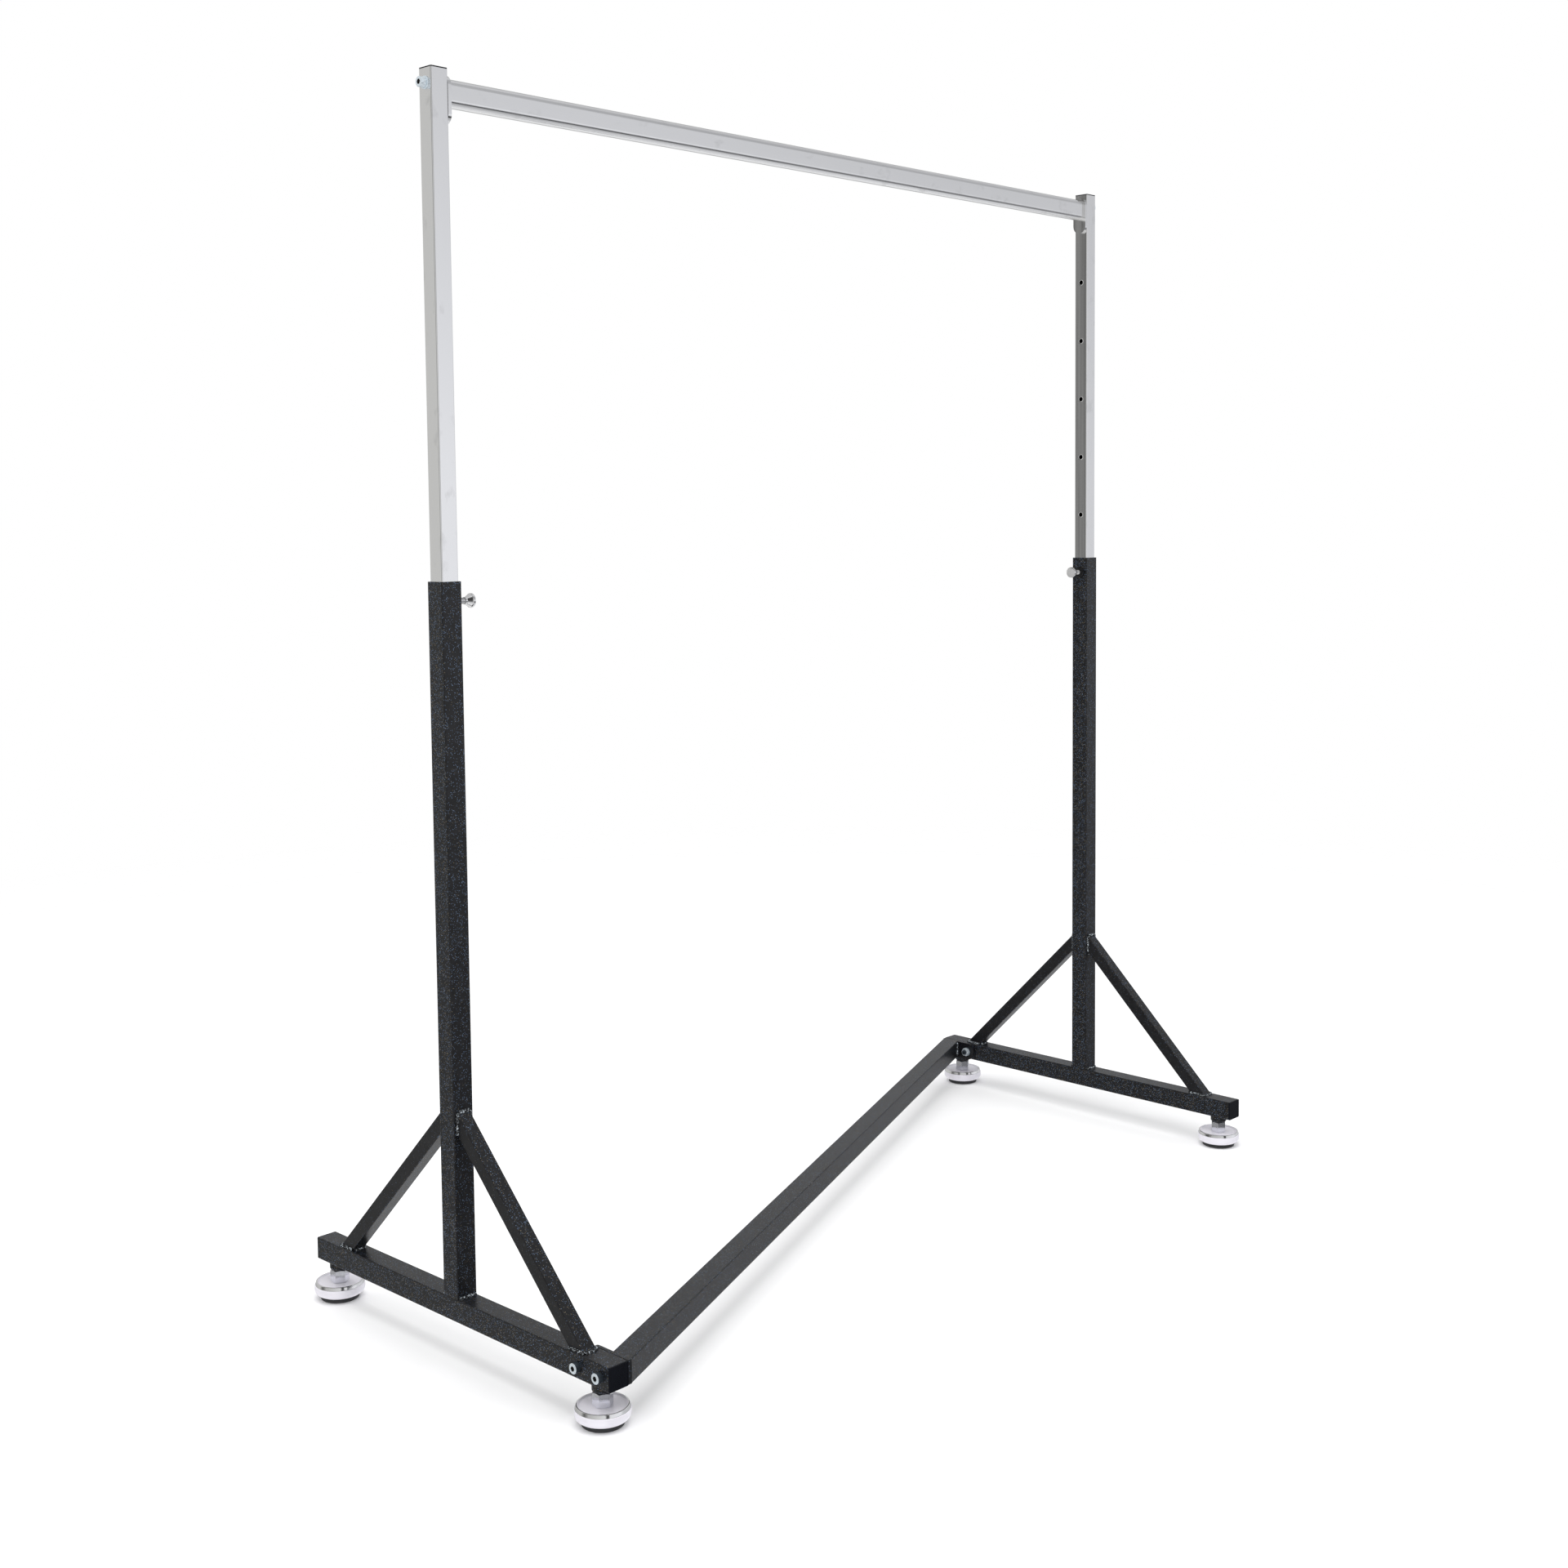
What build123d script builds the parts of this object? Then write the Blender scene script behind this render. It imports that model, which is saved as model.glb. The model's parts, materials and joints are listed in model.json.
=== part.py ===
from build123d import *
import os
from math import atan2, cos, degrees, hypot, sin, tan, radians

# Free-standing rail stand with a Z-shaped base: two end frames (foot bar, post and
# two braces), a diagonal floor bar between them, and a hang rail on two inner
# uprights that telescope in the posts.
# +X runs along the rail, +Y along the foot bars, +Z up.  The origin is on the floor,
# under the middle of the stand.  Millimetres.
# The stand is the same after a half turn about Z, so each piece of the right end
# frame is the left one's piece turned by 180 degrees.

# ---- overall sizes
STAND_LENGTH = 1400.0      # over the outer faces of the two foot bars
STAND_DEPTH = 610.0        # over the end caps of a foot bar
POST_HEIGHT = 908.0        # a post, above its foot bar
UPRIGHT_LENGTH = 898.5     # an inner upright, without its cap

# ---- base tubes
FRAME_SIDE = 30.0          # foot bars, posts and floor bar, square
FRAME_WALL = 2.0
FRAME_CORNER = 1.6         # outside corner radius
LEAST_CORNER = 0.2         # inside corner radius of a tube with a thick wall
BRACE_SIDE = 20.0
BRACE_WALL = 1.5
BRACE_CORNER = 1.4
BRACE_REACH = 240.0        # from the post's face to the brace's toe, and as far up
BEAD_LEG = 3.2             # leg of a weld bead

# ---- upper frame
SLIDE_GAP = 0.5            # upright in post, each side
UPRIGHT_SIDE = FRAME_SIDE - 2 * FRAME_WALL - 2 * SLIDE_GAP
UPRIGHT_WALL = 1.5
UPRIGHT_CORNER = 1.8
HOLE_DIAMETER = 7.5        # locking holes in an upright
HOLE_PITCH = 100.0
HOLE_COUNT = 6
HOLE_FROM_TOP = 150.0      # first hole, under the top of the cap
TOP_CAP = 1.5              # thickness of the cap on an upright
RAIL_HEIGHT = 35.0         # flat-oval rail
RAIL_WIDTH = 18.0
RAIL_WALL = 1.5
RAIL_DROP = 28.0           # rail's centre line, under the top of the cap
RAIL_PLATE_HEIGHT = 60.0
RAIL_PLATE_THICKNESS = 5.0
RAIL_PLATE_DROP = 7.0      # plate's top, under the top of the cap

# ---- screws, nuts and washers
SCREW_DIAMETER = 8.0
SCREW_HEAD_DIAMETER = 13.0
SCREW_HEAD_HEIGHT = 8.0
SCREW_SOCKET = 6.0         # across the flats of the hex socket
SCREW_SOCKET_DEPTH = 4.0
SCREW_PASSES_NUT = 3.0     # thread past a nut or a tapped plate
SCREW_BEVEL = 0.8          # on the head's rim and the thread's end
NUT_FLATS = 13.0
NUT_HEIGHT = 6.5
NUT_DRESSING = 0.9         # how far the corners of a nut are turned down
WASHER_DIAMETER = 16.0
WASHER_THICKNESS = 1.6

# ---- floor bar joint
JOINT_PLATE_THICKNESS = 5.0
END_TO_SCREW = 17.0        # first screw, from the end of the foot bar
SCREW_PITCH = 40.0         # to the second one

# ---- lock screws
LOCK_DROP = 25.0           # lock axis, under the post's top
LOCK_THREAD = 8.0
LOCK_DOG = 6.5             # plain tip that enters a hole
LOCK_TRAVEL = 5.0          # from backed off to locked
DOG_SPARE = 0.2            # how much longer the plain tip is than the travel
DOG_BEVEL = 0.8
THREAD_BEVEL = 0.4         # lead-in behind the plain tip
COLLAR_DIAMETER = 19.0
COLLAR_THICKNESS = 3.0
COLLAR_STEP_DIAMETER = 14.0
COLLAR_STEP_THICKNESS = 2.0
COLLAR_BEVEL = 0.5
KNOB_DIAMETER = 18.5
KNOB_STAND_OFF = 14.0      # post's face to the knob's cone, backed off
KNOB_CONE_LENGTH = 8.5
KNOB_CONE_DIAMETER = 16.5  # where the cone meets the rim
KNOB_NECK_DIAMETER = 9.6
KNOB_RIM = 4.0
KNOB_EDGE = 0.8
KNOB_BORE_DEPTH = 8.0

# ---- levelling feet
FOOT_INSET = 30.0          # foot's axis, from the end of the foot bar
FOOT_THREAD = 12.0
BOSS_DIAMETER = 26.0
BOSS_HEIGHT = 10.0
BOSS_CHAMFER = 2.0
HEX_FLATS = 22.0
HEX_HEIGHT = 16.8
HEX_DRESSING = 1.6         # how far the corners of the hex are turned down
HEX_GAP = 0.6              # under the boss, screwed fully in
STUD_BEVEL = 1.0
STUD_LENGTH = 36.5         # thread above the hex
STUD_NECK = 10.0           # neck that turns in the pad
RIVET_DIAMETER = 16.0
RIVET_THICKNESS = 2.2
PAD_DIAMETER = 68.0
PAD_HEIGHT = 18.0
PAD_DISH = 2.0             # depth of the dish inside the rim
PAD_EDGE = 7.5             # round of the lower edge
PAD_RIM = 4.5              # height of the stepped-in rim
PAD_RIM_STEP = 1.0         # how far the rim steps in
PAD_RIM_WIDTH = 3.6        # pad's side to the edge of the dish
PAD_WEB = 11.5             # thickness at the stud's neck
SOLE_DIAMETER = 52.0
SOLE_THICKNESS = 6.5
SOLE_EDGE = 1.2

# ---- end caps
CAP_FACE = 2.0
CAP_PLUG = 7.0
CAP_WALL = 2.0
CAP_CORNER = 0.5           # corner of a plug
CAP_BEVEL = 0.5            # rim of a cap's face

# ---- clearances
RUNNING_GAP = 0.05         # shaft in its hole, on the radius
PLUG_GAP = 0.1             # plug in tube, each side
BOLT_GAP = 0.2             # screw in a plain hole, on the radius
END_GAP = 0.1              # along the axis of a turning piece
DOG_GAP = 0.5              # lock screw's tip to the upright, backed off
LOOSE_GAP = 0.5            # round a thread or rivet that only passes through, on the radius

# ---- places worked out from the sizes
FOOT_STACK = SOLE_THICKNESS + PAD_HEIGHT - PAD_DISH + END_GAP + HEX_HEIGHT + HEX_GAP
BAR_BOTTOM = FOOT_STACK + BOSS_HEIGHT
BAR_TOP = BAR_BOTTOM + FRAME_SIDE
BAR_MIDDLE = BAR_BOTTOM + FRAME_SIDE / 2
POST_TOP = BAR_TOP + POST_HEIGHT
LOCK_HEIGHT = POST_TOP - LOCK_DROP
STAND_TOP = LOCK_HEIGHT + (HOLE_COUNT - 1) * HOLE_PITCH + HOLE_FROM_TOP    # rail at full height
UPRIGHT_TOP = STAND_TOP - TOP_CAP
POST_X = STAND_LENGTH / 2 - FRAME_SIDE / 2
HALF = FRAME_SIDE / 2
FOOT_Y = STAND_DEPTH / 2 - FOOT_INSET
OUTER_SCREW_Y = -STAND_DEPTH / 2 + END_TO_SCREW
INNER_SCREW_Y = OUTER_SCREW_Y + SCREW_PITCH
PLATE_X = POST_X - HALF - JOINT_PLATE_THICKNESS    # inner face of a joint plate
RAIL_SCREW_Z = STAND_TOP - RAIL_PLATE_DROP - UPRIGHT_SIDE / 2
RAIL_Z = STAND_TOP - RAIL_DROP

LEFT = Pos(-POST_X, 0, 0)
SIDES = {"left": Rot(0, 0, 0), "right": Rot(0, 0, 180)}
parts = {}


# ---- helpers
def tube(length, side, wall, corner):
    """Square tube along +Z from z = 0."""
    outside = RectangleRounded(side, side, corner)
    inner_corner = max(corner - wall, LEAST_CORNER)
    inside = RectangleRounded(side - 2 * wall, side - 2 * wall, inner_corner)
    return extrude(outside - inside, amount=length)


def turned(*outline):
    """Solid of revolution about Z from (radius, z) points."""
    face = make_face(Polyline(*[(r, 0, z) for r, z in outline], close=True))
    return revolve(face, axis=Axis.Z)


def rod(radius, start, end):
    """Round bar along Z."""
    return Pos(0, 0, (start + end) / 2) * Cylinder(radius, end - start)


def hexagon(flats, start, end):
    """Hexagonal bar along Z."""
    section = RegularPolygon(flats / 2, 6, major_radius=False)
    return Pos(0, 0, start) * extrude(section, amount=end - start)


def dressed_hexagon(flats, start, end, cut):
    """Hexagonal bar along Z with its corners turned down at both ends."""
    corner = flats / 2 / cos(radians(30))
    slope = cut * tan(radians(30))
    turned_down = turned((0, start), (corner - cut, start), (corner, start + slope),
                         (corner, end - slope), (corner - cut, end), (0, end))
    return hexagon(flats, start, end) & turned_down


def to_plus_x(solid):
    """Turn a solid that was made along +Z to lie along +X."""
    return Rot(0, 90, 0) * solid


def bead(corner, first, second, along):
    """Triangular weld bead in the corner between two directions."""
    c = Vector(*corner)
    face = Face(Wire.make_polygon([c, c + Vector(*first), c + Vector(*second)]))
    return Part(Solid.extrude(face, Vector(*along)).wrapped)


# ---- socket screws, nuts and washers, along Z with the head's seat at z = 0
BOLT_HOLE = SCREW_DIAMETER / 2 + BOLT_GAP           # radius of a plain hole for a screw


def socket_screw(length):
    """The head stands below z = 0 and the shank runs up to z = length."""
    head = rod(SCREW_HEAD_DIAMETER / 2, -SCREW_HEAD_HEIGHT, 0)
    head = chamfer(head.edges().group_by(Axis.Z)[0], SCREW_BEVEL)
    shank = rod(SCREW_DIAMETER / 2, 0, length)
    shank = chamfer(shank.edges().group_by(Axis.Z)[-1], SCREW_BEVEL)
    return head + shank - hexagon(SCREW_SOCKET, -SCREW_HEAD_HEIGHT, SCREW_SOCKET_DEPTH - SCREW_HEAD_HEIGHT)


def nut():
    body = dressed_hexagon(NUT_FLATS, 0, NUT_HEIGHT, NUT_DRESSING)
    return body - rod(SCREW_DIAMETER / 2 + RUNNING_GAP, -1, NUT_HEIGHT + 1)


def washer():
    body = rod(WASHER_DIAMETER / 2, 0, WASHER_THICKNESS)
    return body - rod(BOLT_HOLE, -1, WASHER_THICKNESS + 1)


# ---- end frames, in place for the left side
def foot_bar():
    length = STAND_DEPTH - 2 * CAP_FACE
    bar = Pos(0, length / 2, BAR_MIDDLE) * Rot(90, 0, 0) * tube(length, FRAME_SIDE, FRAME_WALL, FRAME_CORNER)
    for y in (OUTER_SCREW_Y, INNER_SCREW_Y):
        bar -= Pos(0, y, BAR_MIDDLE) * to_plus_x(rod(BOLT_HOLE, -FRAME_SIDE, FRAME_SIDE))
    for y in (-FOOT_Y, FOOT_Y):
        bar -= Pos(0, y, 0) * rod(FOOT_THREAD / 2 + LOOSE_GAP, BAR_BOTTOM - 1, BAR_MIDDLE)
    return LEFT * bar


def post():
    body = Pos(0, 0, BAR_TOP) * tube(POST_HEIGHT, FRAME_SIDE, FRAME_WALL, FRAME_CORNER)
    body -= Pos(0, 0, LOCK_HEIGHT) * to_plus_x(rod(LOCK_THREAD / 2 + LOOSE_GAP, 0, FRAME_SIDE))
    return LEFT * body


def brace(towards):
    """Tube at 45 degrees from the foot bar to the post; towards is -1 or 1 along Y."""
    flat = BRACE_SIDE / sin(radians(45))              # length of an end's cut
    length = 2 * (BRACE_REACH + flat)
    middle = (BRACE_REACH - flat / 2) / 2
    body = Pos(0, 0, -length / 2) * tube(length, BRACE_SIDE, BRACE_WALL, BRACE_CORNER)
    body = Pos(0, HALF + middle, BAR_TOP + middle) * Rot(45, 0, 0) * body
    keep = Pos(0, HALF + length / 2, BAR_TOP + length / 2) * Box(FRAME_SIDE, length, length)
    body = body & keep
    return LEFT * (Rot(0, 0, 180) * body if towards < 0 else body)


def frame_beads():
    """Weld beads at the foot of the post and at both ends of both braces."""
    leg = BEAD_LEG
    slope = leg * sin(radians(45))
    flat = BRACE_SIDE / sin(radians(45))
    straight = BRACE_SIDE - 2 * BRACE_CORNER
    width = (straight, 0, 0)
    post_width = FRAME_SIDE - 2 * FRAME_CORNER
    toe = HALF + BRACE_REACH
    heel = toe - flat
    start = -straight / 2
    quarter = [
        bead((-post_width / 2, HALF, BAR_TOP), (0, leg, 0), (0, 0, leg), (post_width, 0, 0)),
        bead((start, toe, BAR_TOP), (0, leg, 0), (0, -slope, slope), width),
        bead((start, heel, BAR_TOP), (0, -leg, 0), (0, -slope, slope), width),
        bead((start, HALF, BAR_TOP + BRACE_REACH), (0, 0, leg), (0, slope, -slope), width),
        bead((start, HALF, BAR_TOP + BRACE_REACH - flat), (0, 0, -leg), (0, slope, -slope), width),
    ]
    for s in (-1, 1):
        face = s * BRACE_SIDE / 2
        low = (face, heel, BAR_TOP)
        high = (face, HALF, BAR_TOP + BRACE_REACH - flat)
        quarter.append(bead(low, (s * leg, 0, 0), (0, 0, leg), (0, flat, 0)))
        quarter.append(bead(high, (s * leg, 0, 0), (0, leg, 0), (0, 0, flat)))
    beads = quarter + [Rot(0, 0, 180) * b for b in quarter]
    return LEFT * Compound(children=beads)


def lock_collar():
    """Stepped round boss with a thread, welded to the post's inner face."""
    step = COLLAR_THICKNESS + COLLAR_STEP_THICKNESS
    wide, narrow, bevel = COLLAR_DIAMETER / 2, COLLAR_STEP_DIAMETER / 2, COLLAR_BEVEL
    body = turned((0, 0), (wide, 0), (wide, COLLAR_THICKNESS - bevel), (wide - bevel, COLLAR_THICKNESS),
                  (narrow, COLLAR_THICKNESS), (narrow, step - bevel), (narrow - bevel, step), (0, step))
    body -= rod(LOCK_THREAD / 2 + RUNNING_GAP, -1, step + 1)
    return LEFT * Pos(HALF, 0, LOCK_HEIGHT) * to_plus_x(body)


def end_cap(y_sign):
    """Cap with a hollow plug in the end of a foot bar."""
    face = extrude(RectangleRounded(FRAME_SIDE, FRAME_SIDE, FRAME_CORNER), amount=CAP_FACE)
    face = chamfer(face.edges().group_by(Axis.Z)[-1], CAP_BEVEL)
    plug_side = FRAME_SIDE - 2 * FRAME_WALL - 2 * PLUG_GAP
    cap = face + Pos(0, 0, -CAP_PLUG) * tube(CAP_PLUG, plug_side, CAP_WALL, CAP_CORNER)
    cap = Pos(0, STAND_DEPTH / 2 - CAP_FACE, BAR_MIDDLE) * Rot(-90, 0, 0) * cap
    return LEFT * (Rot(0, 0, 180) * cap if y_sign < 0 else cap)


# ---- levelling foot, about its own axis
SOLE_TOP = SOLE_THICKNESS
PAD_TOP = SOLE_TOP + PAD_HEIGHT
DISH_Z = PAD_TOP - PAD_DISH
HEX_BOTTOM = DISH_Z + END_GAP
HEX_TOP = HEX_BOTTOM + HEX_HEIGHT
WEB_BOTTOM = DISH_Z - PAD_WEB


def foot_boss():
    r = BOSS_DIAMETER / 2
    body = turned((0, BAR_BOTTOM), (r, BAR_BOTTOM), (r, BAR_BOTTOM - BOSS_HEIGHT + BOSS_CHAMFER),
                  (r - BOSS_CHAMFER, BAR_BOTTOM - BOSS_HEIGHT), (0, BAR_BOTTOM - BOSS_HEIGHT))
    return body - rod(FOOT_THREAD / 2 + RUNNING_GAP, BAR_BOTTOM - BOSS_HEIGHT - 1, BAR_BOTTOM + 1)


def foot_stud():
    """Threaded stud with a hex, and a riveted neck that turns in the pad."""
    body = dressed_hexagon(HEX_FLATS, HEX_BOTTOM, HEX_TOP, HEX_DRESSING)
    thread = rod(FOOT_THREAD / 2, HEX_TOP, HEX_TOP + STUD_LENGTH)
    thread = chamfer(thread.edges().group_by(Axis.Z)[-1], STUD_BEVEL)
    rivet_top = WEB_BOTTOM - END_GAP
    neck = rod(STUD_NECK / 2, rivet_top, HEX_BOTTOM)
    rivet = rod(RIVET_DIAMETER / 2, rivet_top - RIVET_THICKNESS, rivet_top)
    return body + thread + neck + rivet


def foot_pad():
    """Chromed disc with a rounded lower edge, a stepped-in rim and a shallow dish."""
    r = PAD_DIAMETER / 2
    rim_z = PAD_TOP - PAD_RIM
    lip = r - PAD_RIM_WIDTH
    outline = Polyline((r, 0, SOLE_TOP + PAD_EDGE), (r, 0, rim_z), (r - PAD_RIM_STEP, 0, rim_z),
                       ((r + lip) / 2, 0, PAD_TOP), (lip, 0, PAD_TOP), (lip - PAD_DISH, 0, DISH_Z),
                       (0, 0, DISH_Z), (0, 0, SOLE_TOP), (r - PAD_EDGE, 0, SOLE_TOP))
    bulge = PAD_EDGE * (1 - sin(radians(45)))
    edge = ThreePointArc((r - PAD_EDGE, 0, SOLE_TOP), (r - bulge, 0, SOLE_TOP + bulge),
                         (r, 0, SOLE_TOP + PAD_EDGE))
    body = revolve(make_face(outline + edge), axis=Axis.Z)
    body -= rod(STUD_NECK / 2 + RUNNING_GAP, SOLE_TOP - 1, PAD_TOP)
    return body - rod(RIVET_DIAMETER / 2 + LOOSE_GAP, SOLE_TOP - 1, WEB_BOTTOM)


def foot_sole():
    body = rod(SOLE_DIAMETER / 2, 0, SOLE_THICKNESS)
    return fillet(body.edges().group_by(Axis.Z)[0], SOLE_EDGE)


# ---- floor bar and its joints
BAR_ANGLE = degrees(atan2(-2 * OUTER_SCREW_Y, 2 * PLATE_X))


def floor_bar():
    """Diagonal tube, cut square to X where it meets the joint plates."""
    length = 2 * hypot(PLATE_X, OUTER_SCREW_Y) + 4 * FRAME_SIDE
    bar = Pos(-length / 2, 0, 0) * to_plus_x(tube(length, FRAME_SIDE, FRAME_WALL, FRAME_CORNER))
    bar = Pos(0, 0, BAR_MIDDLE) * Rot(0, 0, BAR_ANGLE) * bar
    return bar & (Pos(0, 0, BAR_MIDDLE) * Box(2 * PLATE_X, 2 * STAND_DEPTH, 2 * FRAME_SIDE))


def joint_plate():
    """Plate on the inner side of the foot bar, round about the second screw."""
    end = -STAND_DEPTH / 2
    flat = Pos(0, (end + INNER_SCREW_Y) / 2, BAR_MIDDLE) * Box(
        JOINT_PLATE_THICKNESS, INNER_SCREW_Y - end, FRAME_SIDE)
    ear = Pos(0, INNER_SCREW_Y, BAR_MIDDLE) * to_plus_x(
        rod(HALF, -JOINT_PLATE_THICKNESS / 2, JOINT_PLATE_THICKNESS / 2))
    plate = flat + ear
    for y in (OUTER_SCREW_Y, INNER_SCREW_Y):
        plate -= Pos(0, y, BAR_MIDDLE) * to_plus_x(rod(BOLT_HOLE, -FRAME_SIDE, FRAME_SIDE))
    return Pos(-PLATE_X - JOINT_PLATE_THICKNESS / 2, 0, 0) * plate


JOINT_GRIP = FRAME_SIDE + JOINT_PLATE_THICKNESS


def joint_screws():
    long_enough = JOINT_GRIP + WASHER_THICKNESS + NUT_HEIGHT + SCREW_PASSES_NUT
    screw = to_plus_x(socket_screw(long_enough))
    return [LEFT * Pos(-HALF, y, BAR_MIDDLE) * screw for y in (OUTER_SCREW_Y, INNER_SCREW_Y)]


def joint_washers():
    return [Pos(-PLATE_X, INNER_SCREW_Y, BAR_MIDDLE) * to_plus_x(washer())]


def joint_nuts():
    """One nut behind the plate inside the floor bar, one on a washer outside it."""
    inside = Pos(-PLATE_X, OUTER_SCREW_Y, BAR_MIDDLE) * to_plus_x(nut())
    outside = Pos(-PLATE_X + WASHER_THICKNESS, INNER_SCREW_Y, BAR_MIDDLE) * to_plus_x(nut())
    return [inside, outside]


def joint_beads():
    """Upright beads where the floor bar meets the joint plate."""
    angle = radians(BAR_ANGLE)
    half_cut = HALF / cos(angle)
    low = BAR_BOTTOM + FRAME_CORNER
    height = FRAME_SIDE - 2 * FRAME_CORNER
    along_bar = (BEAD_LEG * cos(angle), BEAD_LEG * sin(angle), 0)
    inner = (-PLATE_X, OUTER_SCREW_Y + half_cut, low)
    return [bead(inner, along_bar, (0, BEAD_LEG, 0), (0, 0, height))]


# ---- upper frame, left side in place
def upright():
    body = tube(UPRIGHT_LENGTH, UPRIGHT_SIDE, UPRIGHT_WALL, UPRIGHT_CORNER)
    body = Pos(0, 0, UPRIGHT_TOP - UPRIGHT_LENGTH) * body
    for i in range(HOLE_COUNT):
        z = LOCK_HEIGHT + i * HOLE_PITCH
        body -= Pos(0, 0, z) * to_plus_x(rod(HOLE_DIAMETER / 2, 0, UPRIGHT_SIDE))
    body -= Pos(0, 0, RAIL_SCREW_Z) * to_plus_x(rod(BOLT_HOLE, -UPRIGHT_SIDE, UPRIGHT_SIDE))
    return LEFT * body


def upright_cap():
    face = extrude(RectangleRounded(UPRIGHT_SIDE, UPRIGHT_SIDE, UPRIGHT_CORNER), amount=TOP_CAP)
    face = chamfer(face.edges().group_by(Axis.Z)[-1], CAP_BEVEL)
    plug_side = UPRIGHT_SIDE - 2 * UPRIGHT_WALL - 2 * PLUG_GAP
    depth = STAND_TOP - RAIL_SCREW_Z - TOP_CAP - SCREW_DIAMETER
    cap = face + Pos(0, 0, -depth) * tube(depth, plug_side, CAP_WALL, CAP_CORNER)
    return LEFT * Pos(0, 0, UPRIGHT_TOP) * cap


def hang_rail():
    length = 2 * (POST_X - UPRIGHT_SIDE / 2 - RAIL_PLATE_THICKNESS)
    outside = SlotOverall(RAIL_HEIGHT, RAIL_WIDTH)
    inside = SlotOverall(RAIL_HEIGHT - 2 * RAIL_WALL, RAIL_WIDTH - 2 * RAIL_WALL)
    body = extrude(outside - inside, amount=length)
    return Pos(-length / 2, 0, RAIL_Z) * to_plus_x(body)


def rail_plate():
    """Round-ended plate between upright and rail; the screw is at its upper round."""
    body = extrude(SlotOverall(RAIL_PLATE_HEIGHT, UPRIGHT_SIDE), amount=RAIL_PLATE_THICKNESS)
    middle = STAND_TOP - RAIL_PLATE_DROP - RAIL_PLATE_HEIGHT / 2
    body = Pos(UPRIGHT_SIDE / 2, 0, middle) * to_plus_x(body)
    body -= Pos(0, 0, RAIL_SCREW_Z) * to_plus_x(rod(SCREW_DIAMETER / 2 + RUNNING_GAP, 0, UPRIGHT_SIDE))
    return LEFT * body


def rail_screw():
    length = WASHER_THICKNESS + UPRIGHT_SIDE + RAIL_PLATE_THICKNESS + SCREW_PASSES_NUT
    seat = -UPRIGHT_SIDE / 2 - WASHER_THICKNESS
    return LEFT * Pos(seat, 0, RAIL_SCREW_Z) * to_plus_x(socket_screw(length))


def rail_washer():
    return LEFT * Pos(-UPRIGHT_SIDE / 2 - WASHER_THICKNESS, 0, RAIL_SCREW_Z) * to_plus_x(washer())


# ---- lock screw, left side in place; distances run from the upright's axis along +X
LOCK_TIP = UPRIGHT_SIDE / 2 + DOG_GAP
DOG_LENGTH = LOCK_TRAVEL + DOG_SPARE
KNOB_START = HALF + KNOB_STAND_OFF
STUD_END = KNOB_START + KNOB_BORE_DEPTH


def lock_stud():
    """Threaded stud with a plain dog point, backed off clear of the upright."""
    dog = LOCK_DOG / 2
    thread = LOCK_THREAD / 2
    dog_end = LOCK_TIP + DOG_LENGTH
    body = turned((0, LOCK_TIP), (dog - DOG_BEVEL, LOCK_TIP), (dog, LOCK_TIP + DOG_BEVEL), (dog, dog_end),
                  (thread, dog_end + THREAD_BEVEL), (thread, STUD_END), (0, STUD_END))
    return LEFT * Pos(0, 0, LOCK_HEIGHT) * to_plus_x(body)


def lock_knob():
    """Mushroom knob: a cone that opens into a rimmed disc."""
    cone_end = KNOB_START + KNOB_CONE_LENGTH
    face = cone_end + KNOB_RIM
    rim = KNOB_DIAMETER / 2
    body = turned((0, KNOB_START), (KNOB_NECK_DIAMETER / 2, KNOB_START), (KNOB_CONE_DIAMETER / 2, cone_end),
                  (rim, cone_end + KNOB_EDGE), (rim, face - KNOB_EDGE), (rim - KNOB_EDGE, face), (0, face))
    body -= rod(LOCK_THREAD / 2 + RUNNING_GAP, KNOB_START - 1, STUD_END + END_GAP)
    return LEFT * Pos(0, 0, LOCK_HEIGHT) * to_plus_x(body)


# ---- every node
for side, turn in SIDES.items():
    parts[f"{side}_foot_bar"] = turn * foot_bar()
    parts[f"{side}_post"] = turn * post()
    parts[f"{side}_weld_beads"] = turn * frame_beads()
    parts[f"{side}_lock_collar"] = turn * lock_collar()
    parts[f"{side}_joint_plate"] = turn * joint_plate()
    parts[f"{side}_upright"] = turn * upright()
    parts[f"{side}_upright_cap"] = turn * upright_cap()
    parts[f"{side}_rail_plate"] = turn * rail_plate()
    parts[f"{side}_lock_stud"] = turn * lock_stud()
    parts[f"{side}_lock_knob"] = turn * lock_knob()
    for end, y_sign in (("front", -1), ("rear", 1)):
        own_sign = y_sign if side == "left" else -y_sign
        parts[f"{side}_{end}_brace"] = turn * brace(own_sign)
        parts[f"{side}_{end}_end_cap"] = turn * end_cap(own_sign)
        place = turn * LEFT * Pos(0, own_sign * FOOT_Y, 0)
        parts[f"{side}_{end}_foot_boss"] = place * foot_boss()
        parts[f"{side}_{end}_foot_stud"] = place * foot_stud()
        parts[f"{side}_{end}_foot_pad"] = place * foot_pad()
        parts[f"{side}_{end}_foot_sole"] = place * foot_sole()

parts["floor_bar"] = floor_bar()
parts["hang_rail"] = hang_rail()

GROUPS = {
    "joint_screws": joint_screws(),
    "joint_washers": joint_washers(),
    "joint_nuts": joint_nuts(),
    "joint_weld_beads": joint_beads(),
    "rail_screws": [rail_screw()],
    "rail_washers": [rail_washer()],
}
for name, members in GROUPS.items():
    parts[name] = Compound(children=[turn * m for turn in SIDES.values() for m in members])

os.makedirs("parts", exist_ok=True)
for name, solid in parts.items():
    export_step(solid, f"parts/{name}.step")
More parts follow.
